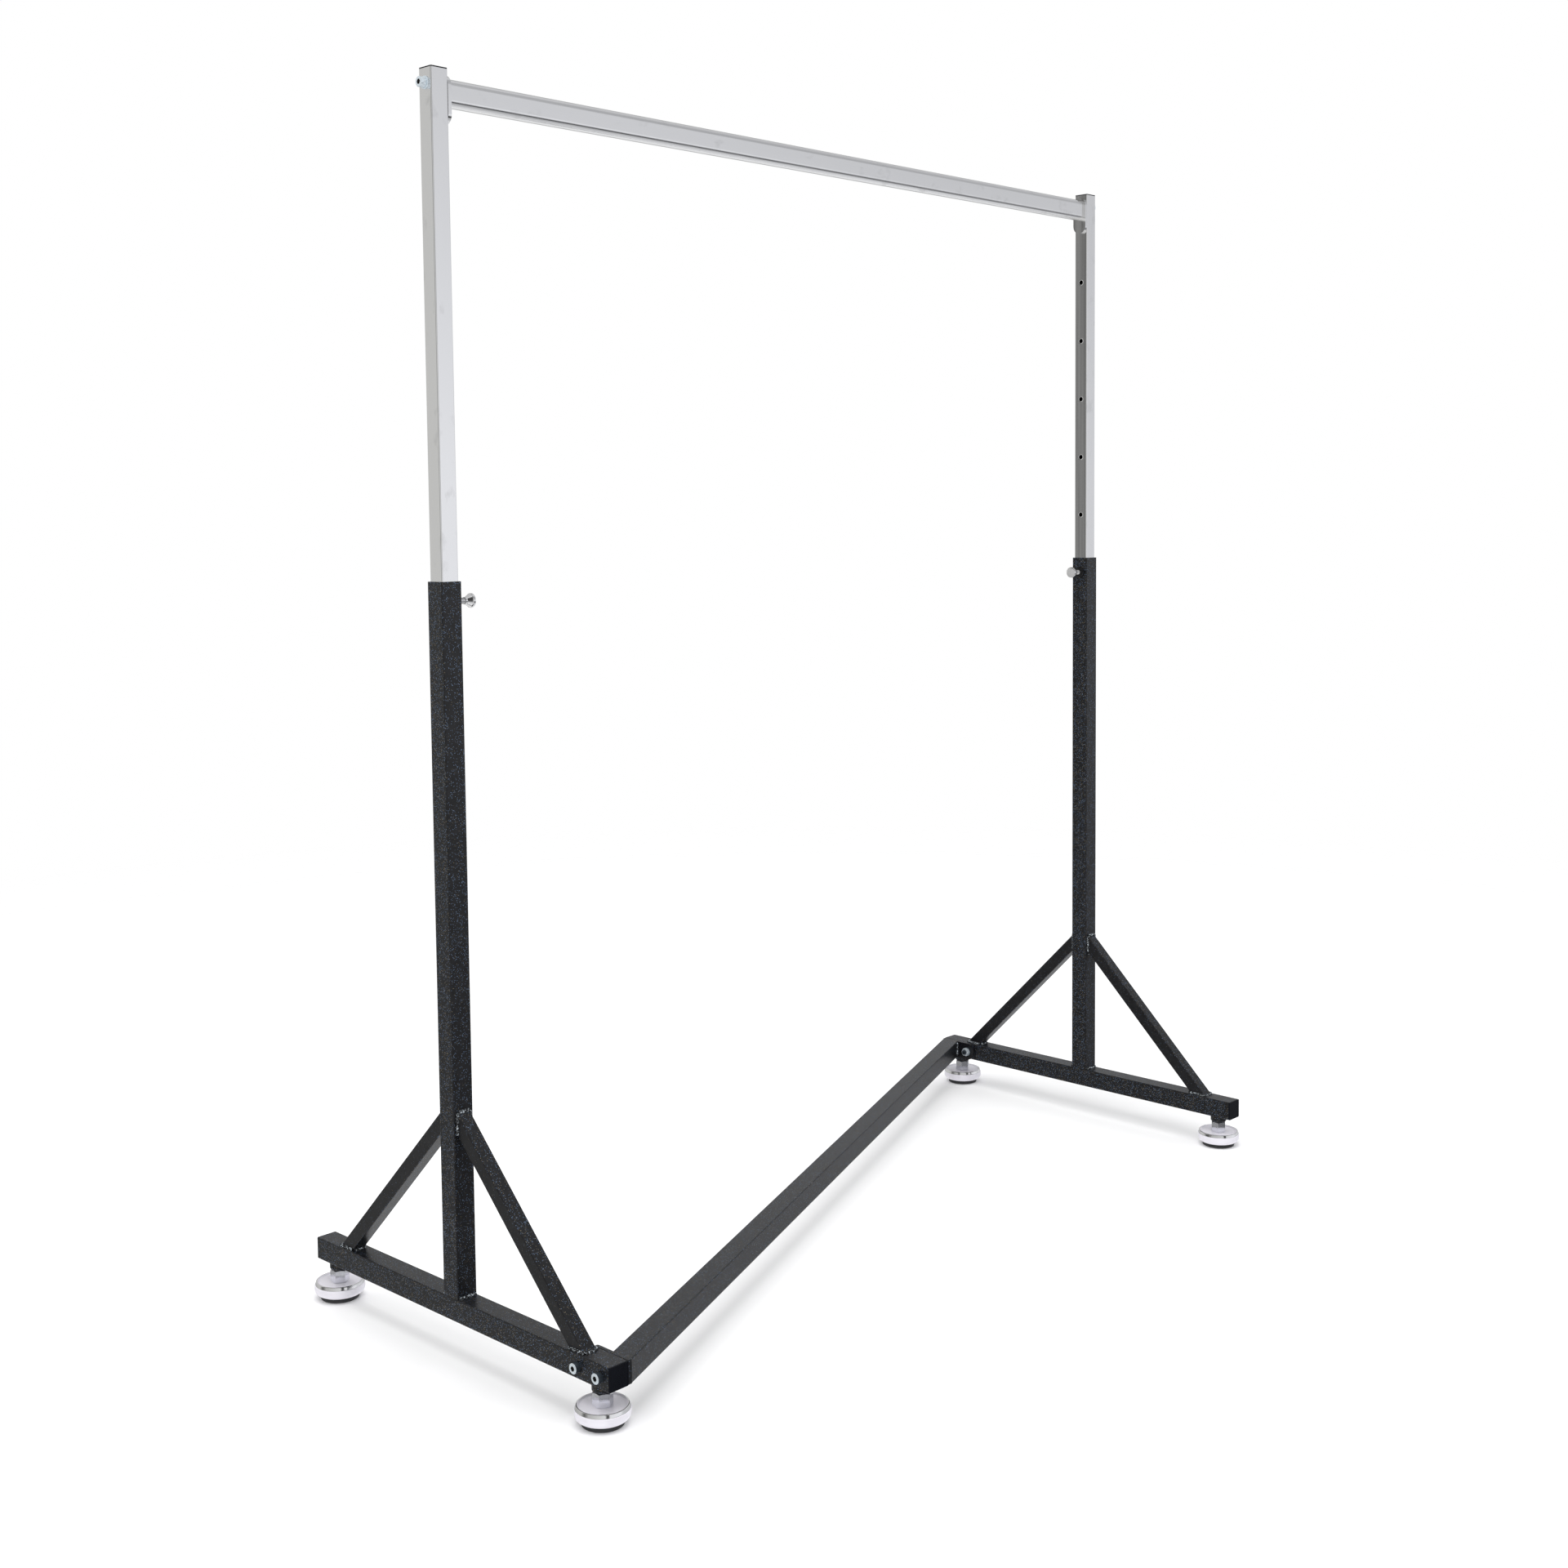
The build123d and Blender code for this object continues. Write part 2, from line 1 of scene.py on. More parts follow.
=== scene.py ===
"""Finished model of a free-standing rail stand, laid out as an add-on.

A black Z-shaped base of square tube stands on four levelling feet.  Two chromed uprights
slide in its posts, are held by lock screws, and carry a flat-oval rail.
Every piece is built in place around the frame, in metres.
"""
import json
import math
import random

import bmesh
import bpy
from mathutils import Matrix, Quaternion, Vector

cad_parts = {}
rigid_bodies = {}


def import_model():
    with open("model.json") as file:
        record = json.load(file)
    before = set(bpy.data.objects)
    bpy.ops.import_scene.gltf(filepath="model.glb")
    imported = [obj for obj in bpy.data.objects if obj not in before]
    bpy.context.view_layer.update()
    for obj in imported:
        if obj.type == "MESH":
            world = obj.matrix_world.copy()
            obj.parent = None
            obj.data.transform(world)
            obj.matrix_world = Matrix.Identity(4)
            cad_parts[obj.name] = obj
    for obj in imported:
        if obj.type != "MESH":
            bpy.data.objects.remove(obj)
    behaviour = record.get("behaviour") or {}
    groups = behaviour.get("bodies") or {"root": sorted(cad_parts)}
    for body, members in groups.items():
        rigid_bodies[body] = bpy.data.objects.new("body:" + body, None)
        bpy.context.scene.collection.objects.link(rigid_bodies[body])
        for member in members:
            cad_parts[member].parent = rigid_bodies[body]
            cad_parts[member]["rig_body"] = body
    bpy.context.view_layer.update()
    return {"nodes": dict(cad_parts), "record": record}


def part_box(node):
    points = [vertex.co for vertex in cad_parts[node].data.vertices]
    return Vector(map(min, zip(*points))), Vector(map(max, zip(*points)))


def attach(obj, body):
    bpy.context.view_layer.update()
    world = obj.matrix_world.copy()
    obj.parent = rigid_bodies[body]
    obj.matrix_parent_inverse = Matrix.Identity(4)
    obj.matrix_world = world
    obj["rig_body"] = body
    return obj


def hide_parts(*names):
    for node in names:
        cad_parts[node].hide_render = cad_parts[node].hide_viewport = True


bl_info = {
    "name": "Rail Stand",
    "version": (1, 0, 0),
    "blender": (4, 5, 0),
    "location": "3D Viewport > Sidebar > Rail Stand",
    "description": "Models a height-adjustable rail stand piece by piece",
    "category": "Add Mesh",
}

for start_up_object in list(bpy.data.objects):
    bpy.data.objects.remove(start_up_object)

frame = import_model()

SLOT_OF = {row["node"]: row["material_slot"] for row in frame["record"]["subparts"]}
BODY_OF = {name: node["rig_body"] for name, node in frame["nodes"].items()}
ENDS = ("front", "rear")
HALF_TURN = math.pi
QUARTER_TURN = math.pi / 2
FINE = 1e-6                     # points nearer than this are the same point
EDGE_ANGLE = math.radians(35)   # sharper edges stay crisp in the shading
CORNER_STEPS = 5                # faces round a tube's corner
TURNED_STEPS = 72               # faces round a turned piece
HOLE_STEPS = 32                 # faces round a drilled hole
FLOOR_REACH = 6.0               # radius of the floor
THREAD_GAP = 0.00005            # between a thread and its bore, each side
HOLE_PLAY = 0.001               # how much wider a hole is than the thread through it
PAST_THE_NUT = 0.003            # thread that stands past a nut or a tapped plate


# ---- places read from the frame
def centre_of(node):
    low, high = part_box(node)
    return (low + high) / 2


def extent_of(node):
    low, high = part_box(node)
    return high - low


# ---- sizes and colours that a user would change
def length(name, description, default):
    return bpy.props.FloatProperty(name=name, description=description, default=default,
                                   min=0.0, precision=5, unit="LENGTH")


def colour(name, description, default):
    return bpy.props.FloatVectorProperty(name=name, description=description, default=default,
                                         size=3, min=0.0, max=1.0, subtype="COLOR")


def share(name, description, default):
    return bpy.props.FloatProperty(name=name, description=description, default=default,
                                   min=0.0, max=1.0, subtype="FACTOR")


class StandSizes(bpy.types.PropertyGroup):
    """Sizes that the frame's boxes don't give."""
    frame_wall: length("Frame wall", "Wall of the foot bars, posts and floor bar", 0.002)
    frame_corner: length("Frame corner", "Outside corner radius of those tubes", 0.0016)
    frame_bore_corner: length("Frame bore corner", "Inside corner radius of those tubes", 0.0004)
    brace_side: length("Brace side", "Width of a brace tube", 0.020)
    brace_wall: length("Brace wall", "Wall of a brace tube", 0.0015)
    brace_corner: length("Brace corner", "Outside corner radius of a brace", 0.0014)
    upright_wall: length("Upright wall", "Wall of a chromed upright", 0.0015)
    upright_corner: length("Upright corner", "Outside corner radius of an upright", 0.0018)
    lock_hole: length("Lock hole", "Diameter of the holes in an upright", 0.0075)
    hole_rim: length("Hole rim", "Width of the pressed rim round a lock hole", 0.0017)
    hole_pitch: length("Hole pitch", "Distance between two lock holes", 0.100)
    hole_count: bpy.props.IntProperty(name="Lock holes", description="Holes in each upright",
                                      default=6, min=1, max=20)
    rail_wall: length("Rail wall", "Wall of the flat-oval rail", 0.0015)
    screw: length("Screw", "Thread diameter of the socket screws", 0.008)
    screw_pitch: length("Screw pitch", "Thread pitch of the socket screws", 0.00125)
    screw_head: length("Screw head", "Diameter of a socket screw's head", 0.013)
    screw_head_height: length("Head height", "Height of a socket screw's head", 0.008)
    screw_socket: length("Hex socket", "Across the flats of the socket", 0.006)
    screw_clearance: length("Screw clearance", "Diameter of a plain hole for a screw", 0.0084)
    nut_flats: length("Nut", "Across the flats of a nut", 0.013)
    nut_height: length("Nut height", "Height of a nut", 0.0065)
    washer: length("Washer", "Outside diameter of a washer", 0.016)
    washer_thickness: length("Washer thickness", "Thickness of a washer", 0.0016)
    plate_edge: length("Plate edge", "Softening of the edges of a cut plate", 0.0008)
    cap_face: length("Cap face", "Thickness of an end cap's face", 0.002)
    cap_wall: length("Cap wall", "Wall of an end cap's plug", 0.002)
    foot_thread: length("Foot thread", "Thread diameter of a levelling foot", 0.012)
    foot_pitch: length("Foot pitch", "Thread pitch of a levelling foot", 0.00175)
    foot_hex: length("Foot hex", "Across the flats of a foot's hex", 0.022)
    foot_hex_height: length("Foot hex height", "Height of a foot's hex", 0.0168)
    foot_neck: length("Foot neck", "Diameter of the neck that turns in the pad", 0.010)
    pad_dish: length("Pad dish", "Depth of the dish in a foot pad", 0.002)
    pad_rim: length("Pad rim", "Height of the stepped-in rim of a pad", 0.0045)
    pad_edge: length("Pad edge", "Round of a pad's lower edge", 0.0075)
    knob_neck: length("Knob neck", "Diameter of a lock knob's neck", 0.0096)
    knob_cone: length("Knob cone", "Diameter where the knob's cone meets its rim", 0.0165)
    knob_rim: length("Knob rim", "Width of a lock knob's rim", 0.004)
    bead: length("Weld bead", "Radius of a weld bead", 0.0027)
    ripple: length("Weld ripple", "Length of one ripple of a weld bead", 0.0021)


class StandColours(bpy.types.PropertyGroup):
    """Colours and sheens of the finishes."""
    coat: colour("Powder coat", "Black textured coat of the base", (0.0048, 0.0050, 0.0060))
    cool_fleck: colour("Cool fleck", "Bluish flecks in the coat", (0.20, 0.28, 0.42))
    warm_fleck: colour("Warm fleck", "Golden flecks in the coat", (0.32, 0.27, 0.19))
    coat_sheen: share("Coat roughness", "Roughness of the coat", 0.24)
    chrome: colour("Chrome", "Plated tube and turned fittings", (0.83, 0.83, 0.835))
    chrome_roughness: share("Chrome roughness", "Roughness of the plating", 0.055)
    zinc: colour("Zinc", "Bluish zinc plate of the screws", (0.78, 0.86, 0.92))
    plastic: colour("Plastic", "Black moulded caps", (0.0022, 0.0027, 0.0045))
    rubber: colour("Rubber", "Black soles", (0.012, 0.012, 0.014))
    floor: colour("Floor", "Pale studio floor", (0.90, 0.90, 0.905))


# ---- modelling by operators
def start_clean():
    """Leave edit mode and deselect everything."""
    if bpy.context.mode != "OBJECT":
        bpy.ops.object.mode_set(mode="OBJECT")
    bpy.ops.object.select_all(action="DESELECT")


def choose(piece):
    start_clean()
    piece.select_set(True)
    bpy.context.view_layer.objects.active = piece


def open_mesh(piece):
    """Go into edit mode with all of the piece selected."""
    choose(piece)
    bpy.ops.object.mode_set(mode="EDIT")
    bpy.ops.mesh.select_mode(type="VERT")
    bpy.ops.mesh.select_all(action="SELECT")


def pick(piece, kind, wanted):
    """Select the vertices, edges or faces of an open mesh that wanted() accepts."""
    bpy.ops.mesh.select_mode(type=kind)
    bpy.ops.mesh.select_all(action="DESELECT")
    cage = bmesh.from_edit_mesh(piece.data)
    for member in {"VERT": cage.verts, "EDGE": cage.edges, "FACE": cage.faces}[kind]:
        if wanted(member):
            member.select_set(True)
    cage.select_flush_mode()
    bmesh.update_edit_mesh(piece.data)


def point_outwards():
    bpy.ops.mesh.select_all(action="SELECT")
    bpy.ops.mesh.remove_doubles(threshold=FINE)
    bpy.ops.mesh.normals_make_consistent(inside=False)


def extrude_by(x, y, z):
    bpy.ops.mesh.extrude_region_move(TRANSFORM_OT_translate={"value": (x, y, z)})


def scale_about(point, factors):
    bpy.ops.transform.resize(value=factors, center_override=point)


def apply_modifier(piece, kind, **settings):
    """Add a modifier, set it and apply it."""
    choose(piece)
    modifier = piece.modifiers.new(kind.title(), kind)
    for name, value in settings.items():
        setattr(modifier, name, value)
    bpy.ops.object.modifier_apply(modifier=modifier.name)


def place(piece, at=(0, 0, 0), along="Z", spin=0.0):
    """Turn a piece made along +Z to lie along an axis, move it, and put the place in its mesh."""
    choose(piece)
    turns = {"X": (0, QUARTER_TURN, 0), "Y": (-QUARTER_TURN, 0, 0), "Z": (0, 0, spin)}
    piece.rotation_euler = turns[along]
    piece.location = at
    bpy.ops.object.transform_apply(location=True, rotation=True, scale=True)
    return piece


def copy_of(piece):
    """A copy with its own mesh."""
    choose(piece)
    bpy.ops.object.duplicate(linked=False)
    return bpy.context.object


def half_turn_copy(piece, x=0.0, y=0.0):
    """A copy turned half way round an upright axis through (x, y)."""
    return place(copy_of(piece), at=(2 * x, 2 * y, 0), spin=HALF_TURN)


def joined(pieces):
    """Several pieces as one mesh."""
    start_clean()
    for piece in pieces:
        piece.select_set(True)
    bpy.context.view_layer.objects.active = pieces[0]
    bpy.ops.object.join()
    return bpy.context.object


def soften(piece, width, steps=2, angle=50):
    """Round every edge that is sharper than an angle."""
    apply_modifier(piece, "BEVEL", width=width, segments=steps, limit_method="ANGLE",
                   angle_limit=math.radians(angle), use_clamp_overlap=True)


def paint_faces(piece, slot, wanted):
    """Give the faces that wanted() accepts the finish in one of the piece's slots."""
    open_mesh(piece)
    pick(piece, "FACE", wanted)
    piece.active_material_index = slot
    bpy.ops.object.material_slot_assign()
    start_clean()


def shade(piece):
    """Smooth the rounds, and keep the flats flat."""
    choose(piece)
    bpy.ops.object.shade_smooth_by_angle(angle=EDGE_ANGLE)
    apply_modifier(piece, "WEIGHTED_NORMAL", keep_sharp=True, weight=50)


def shape_rectangle(width, depth, corner):
    """Make the selected unit square a rectangle with rounded corners."""
    scale_about((0, 0, 0), (width, depth, 1))
    bpy.ops.mesh.bevel(offset=corner, segments=CORNER_STEPS, affect="VERTICES")


def hollow_bar(outside, inside, reach):
    """Hollow bar along +Z; each section is (width, depth, corner radius)."""
    start_clean()
    bpy.ops.mesh.primitive_plane_add(size=1, location=(0, 0, 0))
    bar = bpy.context.object
    open_mesh(bar)
    shape_rectangle(*outside)
    bpy.ops.mesh.delete(type="ONLY_FACE")
    bpy.ops.mesh.primitive_plane_add(size=1, location=(0, 0, 0))
    shape_rectangle(*inside)
    bpy.ops.mesh.delete(type="ONLY_FACE")
    bpy.ops.mesh.select_all(action="SELECT")
    bpy.ops.mesh.remove_doubles(threshold=FINE)
    bpy.ops.mesh.bridge_edge_loops()
    bpy.ops.mesh.select_all(action="SELECT")
    extrude_by(0, 0, reach)
    point_outwards()
    start_clean()
    return bar


def square_tube(side, wall, corner, bore_corner, reach):
    bore = side - 2 * wall
    return hollow_bar((side, side, corner), (bore, bore, bore_corner), reach)


def cut_end(bar, point, away):
    """Cut a hollow bar on a plane, drop the part that away points to, and close its wall."""
    open_mesh(bar)
    bpy.ops.mesh.bisect(plane_co=point, plane_no=away, clear_outer=True)
    pick(bar, "EDGE", lambda edge: edge.is_boundary)
    bpy.ops.mesh.bridge_edge_loops()
    point_outwards()
    start_clean()


def flat_plate(width, depth, thickness, rounds):
    """Plate from z = 0 up; rounds lists (test on a corner, radius)."""
    start_clean()
    bpy.ops.mesh.primitive_plane_add(size=1, location=(0, 0, 0))
    plate = bpy.context.object
    open_mesh(plate)
    scale_about((0, 0, 0), (width, depth, 1))
    for is_corner, radius in rounds:
        pick(plate, "VERT", lambda vert: is_corner(vert.co))
        steps = CORNER_STEPS if radius < width / 4 else 3 * CORNER_STEPS
        bpy.ops.mesh.bevel(offset=radius, segments=steps, affect="VERTICES")
    bpy.ops.mesh.select_all(action="SELECT")
    bpy.ops.mesh.remove_doubles(threshold=FINE)
    extrude_by(0, 0, thickness)
    point_outwards()
    start_clean()
    return plate


def turned(outline, steps=TURNED_STEPS):
    """Solid of revolution about Z from (radius, height, rounding) corners.
    An outline that starts and ends off the axis is a ring."""
    start_clean()
    bpy.ops.mesh.primitive_plane_add(size=1, location=(0, 0, 0))
    piece = bpy.context.object
    open_mesh(piece)
    bpy.ops.mesh.merge(type="CENTER")
    corners = [Vector((radius, 0, height)) for radius, height, rounding in outline]
    is_ring = corners[0].x > FINE
    bpy.ops.transform.translate(value=corners[0])
    for here, there in zip(corners, corners[1:] + corners[:1] * is_ring):
        extrude_by(*(there - here))
    bpy.ops.mesh.select_all(action="SELECT")
    bpy.ops.mesh.remove_doubles(threshold=FINE)
    for i, (radius, height, rounding) in enumerate(outline):
        if rounding == 0:
            continue
        corner = corners[i]
        back = corners[i - 1] - corner
        ahead = corners[(i + 1) % len(corners)] - corner
        pick(piece, "VERT", lambda vert: (vert.co - corner).length < FINE)
        bpy.ops.mesh.bevel(offset=rounding / math.tan(back.angle(ahead) / 2), affect="VERTICES",
                           segments=max(3, round(rounding / 0.0006)), clamp_overlap=True)
    bpy.ops.mesh.select_all(action="SELECT")
    bpy.ops.mesh.spin(steps=steps, angle=math.tau, center=(0, 0, 0), axis=(0, 0, 1))
    point_outwards()
    start_clean()
    return piece


def carve(piece, tool, operation="DIFFERENCE"):
    """Cut a piece with a tool, or keep what the two share, and put the tool away."""
    apply_modifier(piece, "BOOLEAN", object=tool, operation=operation, solver="EXACT")
    bpy.data.objects.remove(tool)


def drill(diameter, depth, at, along):
    """A round cutting tool from a point along +X or +Z."""
    start_clean()
    bpy.ops.mesh.primitive_cylinder_add(vertices=HOLE_STEPS, radius=diameter / 2, depth=depth,
                                        location=(0, 0, 0))
    return place(place(bpy.context.object, at=(0, 0, depth / 2)), at=at, along=along)


def hexagon(flats, low, high):
    """Hexagonal bar along Z."""
    start_clean()
    bpy.ops.mesh.primitive_cylinder_add(vertices=6, radius=flats / math.sqrt(3), depth=high - low,
                                        location=(0, 0, (low + high) / 2))
    return place(bpy.context.object, at=(0, 0, (low + high) / 2))


def dressed_hexagon(flats, low, high, cut):
    """Hexagonal bar whose corners are turned down at both ends."""
    bar = hexagon(flats, low, high)
    corner = flats / math.sqrt(3)
    slope = cut * math.tan(math.radians(30))
    shell = turned([(0, low, 0), (corner - cut, low, 0), (corner + FINE, low + slope, 0),
                    (corner + FINE, high - slope, 0), (corner - cut, high, 0), (0, high, 0)])
    carve(bar, shell, "INTERSECT")
    return bar


def threaded_rod(diameter, pitch, low, high, lead=0.0006):
    """Rod along Z with a real helical thread and a chamfered upper end."""
    start_clean()
    depth = 0.61 * pitch
    crest, root = diameter / 2, diameter / 2 - depth
    bpy.ops.mesh.primitive_plane_add(size=1, location=(0, 0, 0))
    rod = bpy.context.object
    open_mesh(rod)
    bpy.ops.mesh.merge(type="CENTER")
    bpy.ops.transform.translate(value=(root, 0, low - 2 * pitch))
    for outwards, upwards in ((0, 0.25), (depth, 0.3125), (0, 0.125), (-depth, 0.3125)):
        extrude_by(outwards, 0, upwards * pitch)
    start_clean()
    apply_modifier(rod, "SCREW", axis="Z", angle=math.tau, screw_offset=pitch, steps=28, render_steps=28,
                   iterations=math.ceil((high - low) / pitch) + 4, use_merge_vertices=True,
                   merge_threshold=FINE)
    open_mesh(rod)
    bpy.ops.mesh.remove_doubles(threshold=FINE)
    bpy.ops.mesh.bisect(plane_co=(0, 0, low), plane_no=(0, 0, -1), clear_outer=True, use_fill=True)
    bpy.ops.mesh.select_all(action="SELECT")
    bpy.ops.mesh.bisect(plane_co=(0, 0, high), plane_no=(0, 0, 1), clear_outer=True, use_fill=True)
    point_outwards()
    start_clean()
    tip = turned([(0, low - pitch, 0), (crest + FINE, low - pitch, 0), (crest + FINE, high - lead, 0),
                  (crest - lead, high, 0), (0, high, 0)], steps=HOLE_STEPS)
    carve(rod, tip, "INTERSECT")
    return rod


# ---- shader sums
class Value:
    """A number socket that takes part in sums; each sum adds its Math node."""

    def __init__(self, paint, socket):
        self.paint = paint
        self.socket = socket

    def sum(self, operation, *terms):
        return self.paint.node("ShaderNodeMath", {"operation": operation}, terms)

    def __add__(self, other):
        return self.sum("ADD", self, other)

    def __radd__(self, other):
        return self.sum("ADD", other, self)

    def __sub__(self, other):
        return self.sum("SUBTRACT", self, other)

    def __rsub__(self, other):
        return self.sum("SUBTRACT", other, self)

    def __mul__(self, other):
        return self.sum("MULTIPLY", self, other)

    def __rmul__(self, other):
        return self.sum("MULTIPLY", other, self)

    def __truediv__(self, other):
        return self.sum("DIVIDE", self, other)

    def __rtruediv__(self, other):
        return self.sum("DIVIDE", other, self)

    def __pow__(self, other):
        return self.sum("POWER", self, other)

    def above(self, limit):
        return self.sum("GREATER_THAN", self, limit)

    def below(self, limit):
        return self.sum("LESS_THAN", self, limit)


class Paint:
    """The nodes of one material or of the world."""

    def __init__(self, owner):
        owner.use_nodes = True
        self.tree = owner.node_tree
        self.tree.nodes.clear()

    def node(self, kind, settings=(), inputs=(), output=0):
        """Add a node: its type, its settings, then the values or links of its sockets."""
        node = self.tree.nodes.new(kind)
        settings = dict(settings)
        for position, shade_of in settings.pop("stops", ()):
            self.add_stop(node.color_ramp, position, shade_of)
        for name, value in settings.items():
            setattr(node, name, value)
        if node.type == "VALTORGB":
            node.color_ramp.elements.remove(node.color_ramp.elements[0])
            node.color_ramp.elements.remove(node.color_ramp.elements[-1])
        named = inputs.items() if isinstance(inputs, dict) else enumerate(inputs)
        for name, value in named:
            if isinstance(value, Value):
                self.tree.links.new(value.socket, node.inputs[name])
            else:
                node.inputs[name].default_value = value
        return Value(self, node.outputs[output]) if node.outputs else None

    def add_stop(self, ramp, position, shade_of):
        inside = min(max(position, 0.0001), 0.9999)
        ramp.elements.new(inside).color = (shade_of, shade_of, shade_of, 1)

    def here(self):
        """Place on the piece, in metres."""
        return self.node("ShaderNodeTexCoord", output="Object")

    def stretched(self, at, stretch):
        return self.node("ShaderNodeMapping", inputs={"Vector": at, "Scale": stretch})

    def noise(self, at, scale, detail=2.0):
        """Soft noise, about 0.5."""
        return self.node("ShaderNodeTexNoise", inputs={"Vector": at, "Scale": scale, "Detail": detail})

    def cells(self, at, scale, output="Distance"):
        return self.node("ShaderNodeTexVoronoi", inputs={"Vector": at, "Scale": scale}, output=output)

    def parts_of(self, vector):
        """The three numbers of a vector or colour."""
        split = self.node("ShaderNodeSeparateXYZ", inputs=[vector]).socket.node
        return [Value(self, socket) for socket in split.outputs]

    def ramp(self, value, stops):
        """Grey ramp through (position, brightness) stops."""
        return self.node("ShaderNodeValToRGB", {"stops": stops}, [value])

    def blend(self, factor, first, second):
        """Colour between two colours."""
        node = self.tree.nodes.new("ShaderNodeMix")
        node.data_type = "RGBA"
        for place_of, value in ((0, factor), (6, first), (7, second)):
            if isinstance(value, Value):
                self.tree.links.new(value.socket, node.inputs[place_of])
            else:
                node.inputs[place_of].default_value = value
        return Value(self, node.outputs[2])

    def bump(self, height, distance, strength=1.0):
        return self.node("ShaderNodeBump",
                         inputs={"Height": height, "Distance": distance, "Strength": strength})

    def surface(self, **sockets):
        """Finish with a Principled shader; names use _ for a space."""
        inputs = {name.replace("_", " "): value for name, value in sockets.items()}
        shader = self.node("ShaderNodeBsdfPrincipled", inputs=inputs)
        self.node("ShaderNodeOutputMaterial", inputs={"Surface": shader})


def opaque(shade_of):
    return (*shade_of, 1.0)


# ---- finishes
def powder_coat(paint, colours):
    """Black textured coat: fine orange peel, and cool and warm metallic flecks."""
    here = paint.here()
    peel = paint.noise(here, 520, 3)
    mottle = paint.noise(here, 110, 2)
    chance, tint, size = paint.parts_of(paint.cells(here, 900, "Color"))
    fleck = paint.cells(here, 900).below(0.26 + 0.16 * size) * chance.above(0.78)
    fleck_colour = paint.blend(tint.above(0.68), opaque(colours.cool_fleck), opaque(colours.warm_fleck))
    worn = opaque([c * 1.8 for c in colours.coat])
    ground = paint.blend(paint.ramp(mottle, [(0.35, 0), (0.7, 1)]), opaque(colours.coat), worn)
    paint.surface(
        Base_Color=paint.blend(fleck, ground, fleck_colour),
        Metallic=0.6 * fleck,
        Roughness=colours.coat_sheen + 0.16 * peel + 0.12 * fleck,
        Specular_IOR_Level=0.36,
        Normal=paint.bump(peel + 0.7 * fleck * size, 0.0003, 0.42),
    )


def gloss_coat(paint, colours):
    """The coat over turned steel, smooth and glossy."""
    here = paint.here()
    lumps = paint.noise(here, 500, 2)
    ground = paint.blend(lumps, opaque([c * 0.6 for c in colours.coat]), opaque(colours.coat))
    paint.surface(Base_Color=ground, Roughness=0.10 + 0.08 * lumps, Normal=paint.bump(lumps, 0.0001, 0.4))


def weld_coat(paint, colours):
    """The coat over a weld: thin and glossy, with random patches of bright zinc-coloured metal painted in as
    glints.
    """
    here = paint.here()
    lumps = paint.noise(here, 700, 2)
    # painted glints: bright metallic patches scattered over the bead
    painted_glint_patches = paint.ramp(paint.noise(here, 480, 1), [(0.53, 0), (0.64, 1)])
    ground = paint.blend(lumps, opaque(colours.coat), opaque([c * 1.8 for c in colours.coat]))
    paint.surface(
        Base_Color=paint.blend(painted_glint_patches, ground, opaque(colours.zinc)),
        Metallic=0.9 * painted_glint_patches,
        Roughness=0.14 + 0.16 * lumps,
        Specular_IOR_Level=0.6,
        Normal=paint.bump(lumps, 0.0003, 0.5),
    )


def plating(paint, colours, stretch, rough=0.0, wave=0.0):
    """Bright chrome with faint drawing lines and soft waves along the piece, haze and rub marks."""
    here = paint.here()
    along = paint.stretched(here, stretch)
    lines = paint.noise(along, 900, 2)
    waves = paint.noise(along, 75, 1)
    haze = paint.noise(here, 14, 4)
    rubs = paint.noise(paint.stretched(here, [1.0 if s < 1 else 1.6 for s in stretch]), 34, 5)
    mark = paint.ramp(rubs, [(0.60, 0), (0.74, 1)])
    dull = opaque([c * 0.80 for c in colours.chrome])
    paint.surface(
        Base_Color=paint.blend(0.10 * lines + 0.5 * mark, opaque(colours.chrome), dull),
        Metallic=1.0,
        Roughness=colours.chrome_roughness + rough + 0.05 * haze + 0.03 * lines + 0.10 * mark,
        Normal=paint.bump(wave * waves + 0.05 * lines + 0.1 * haze, 0.0003, 1.0),
    )


def upright_chrome(paint, colours):
    plating(paint, colours, (1, 1, 0.02), wave=0.8)


def rail_chrome(paint, colours):
    plating(paint, colours, (0.02, 1, 1), 0.09, wave=0.2)


def fitting_chrome(paint, colours):
    plating(paint, colours, (1, 1, 1), 0.02)


def stud_plate(paint, colours):
    """Bright bluish plate of the foot studs."""
    here = paint.here()
    mottle = paint.noise(here, 300, 3)
    cool = opaque([min(1, c * f) for c, f in zip(colours.chrome, (1.06, 1.08, 1.18))])
    paint.surface(Base_Color=paint.blend(mottle, cool, opaque([c * 0.85 for c in colours.chrome])),
                  Metallic=0.88 + 0.1 * mottle, Roughness=0.07 + 0.07 * mottle,
                  Normal=paint.bump(mottle, 0.00004, 0.5))


def satin_chrome(paint, colours):
    """The faced-off end of a knob, with fine turning rings."""
    here = paint.here()
    middle_of = centre_of("left_lock_knob")
    across, up = paint.parts_of(here)[1:]
    height = up - middle_of.z
    ring = (across * across + height * height) ** 0.5
    groove = (ring * 9000).sum("SINE", ring * 9000)
    grain = paint.noise(here, 1500, 2)
    paint.surface(
        Base_Color=paint.blend(grain, opaque([c * 0.88 for c in colours.chrome]), opaque(colours.chrome)),
        Metallic=0.70 + 0.1 * grain,
        Roughness=0.30 + 0.08 * grain,
        Normal=paint.bump(groove + grain, 0.00003, 0.5),
    )


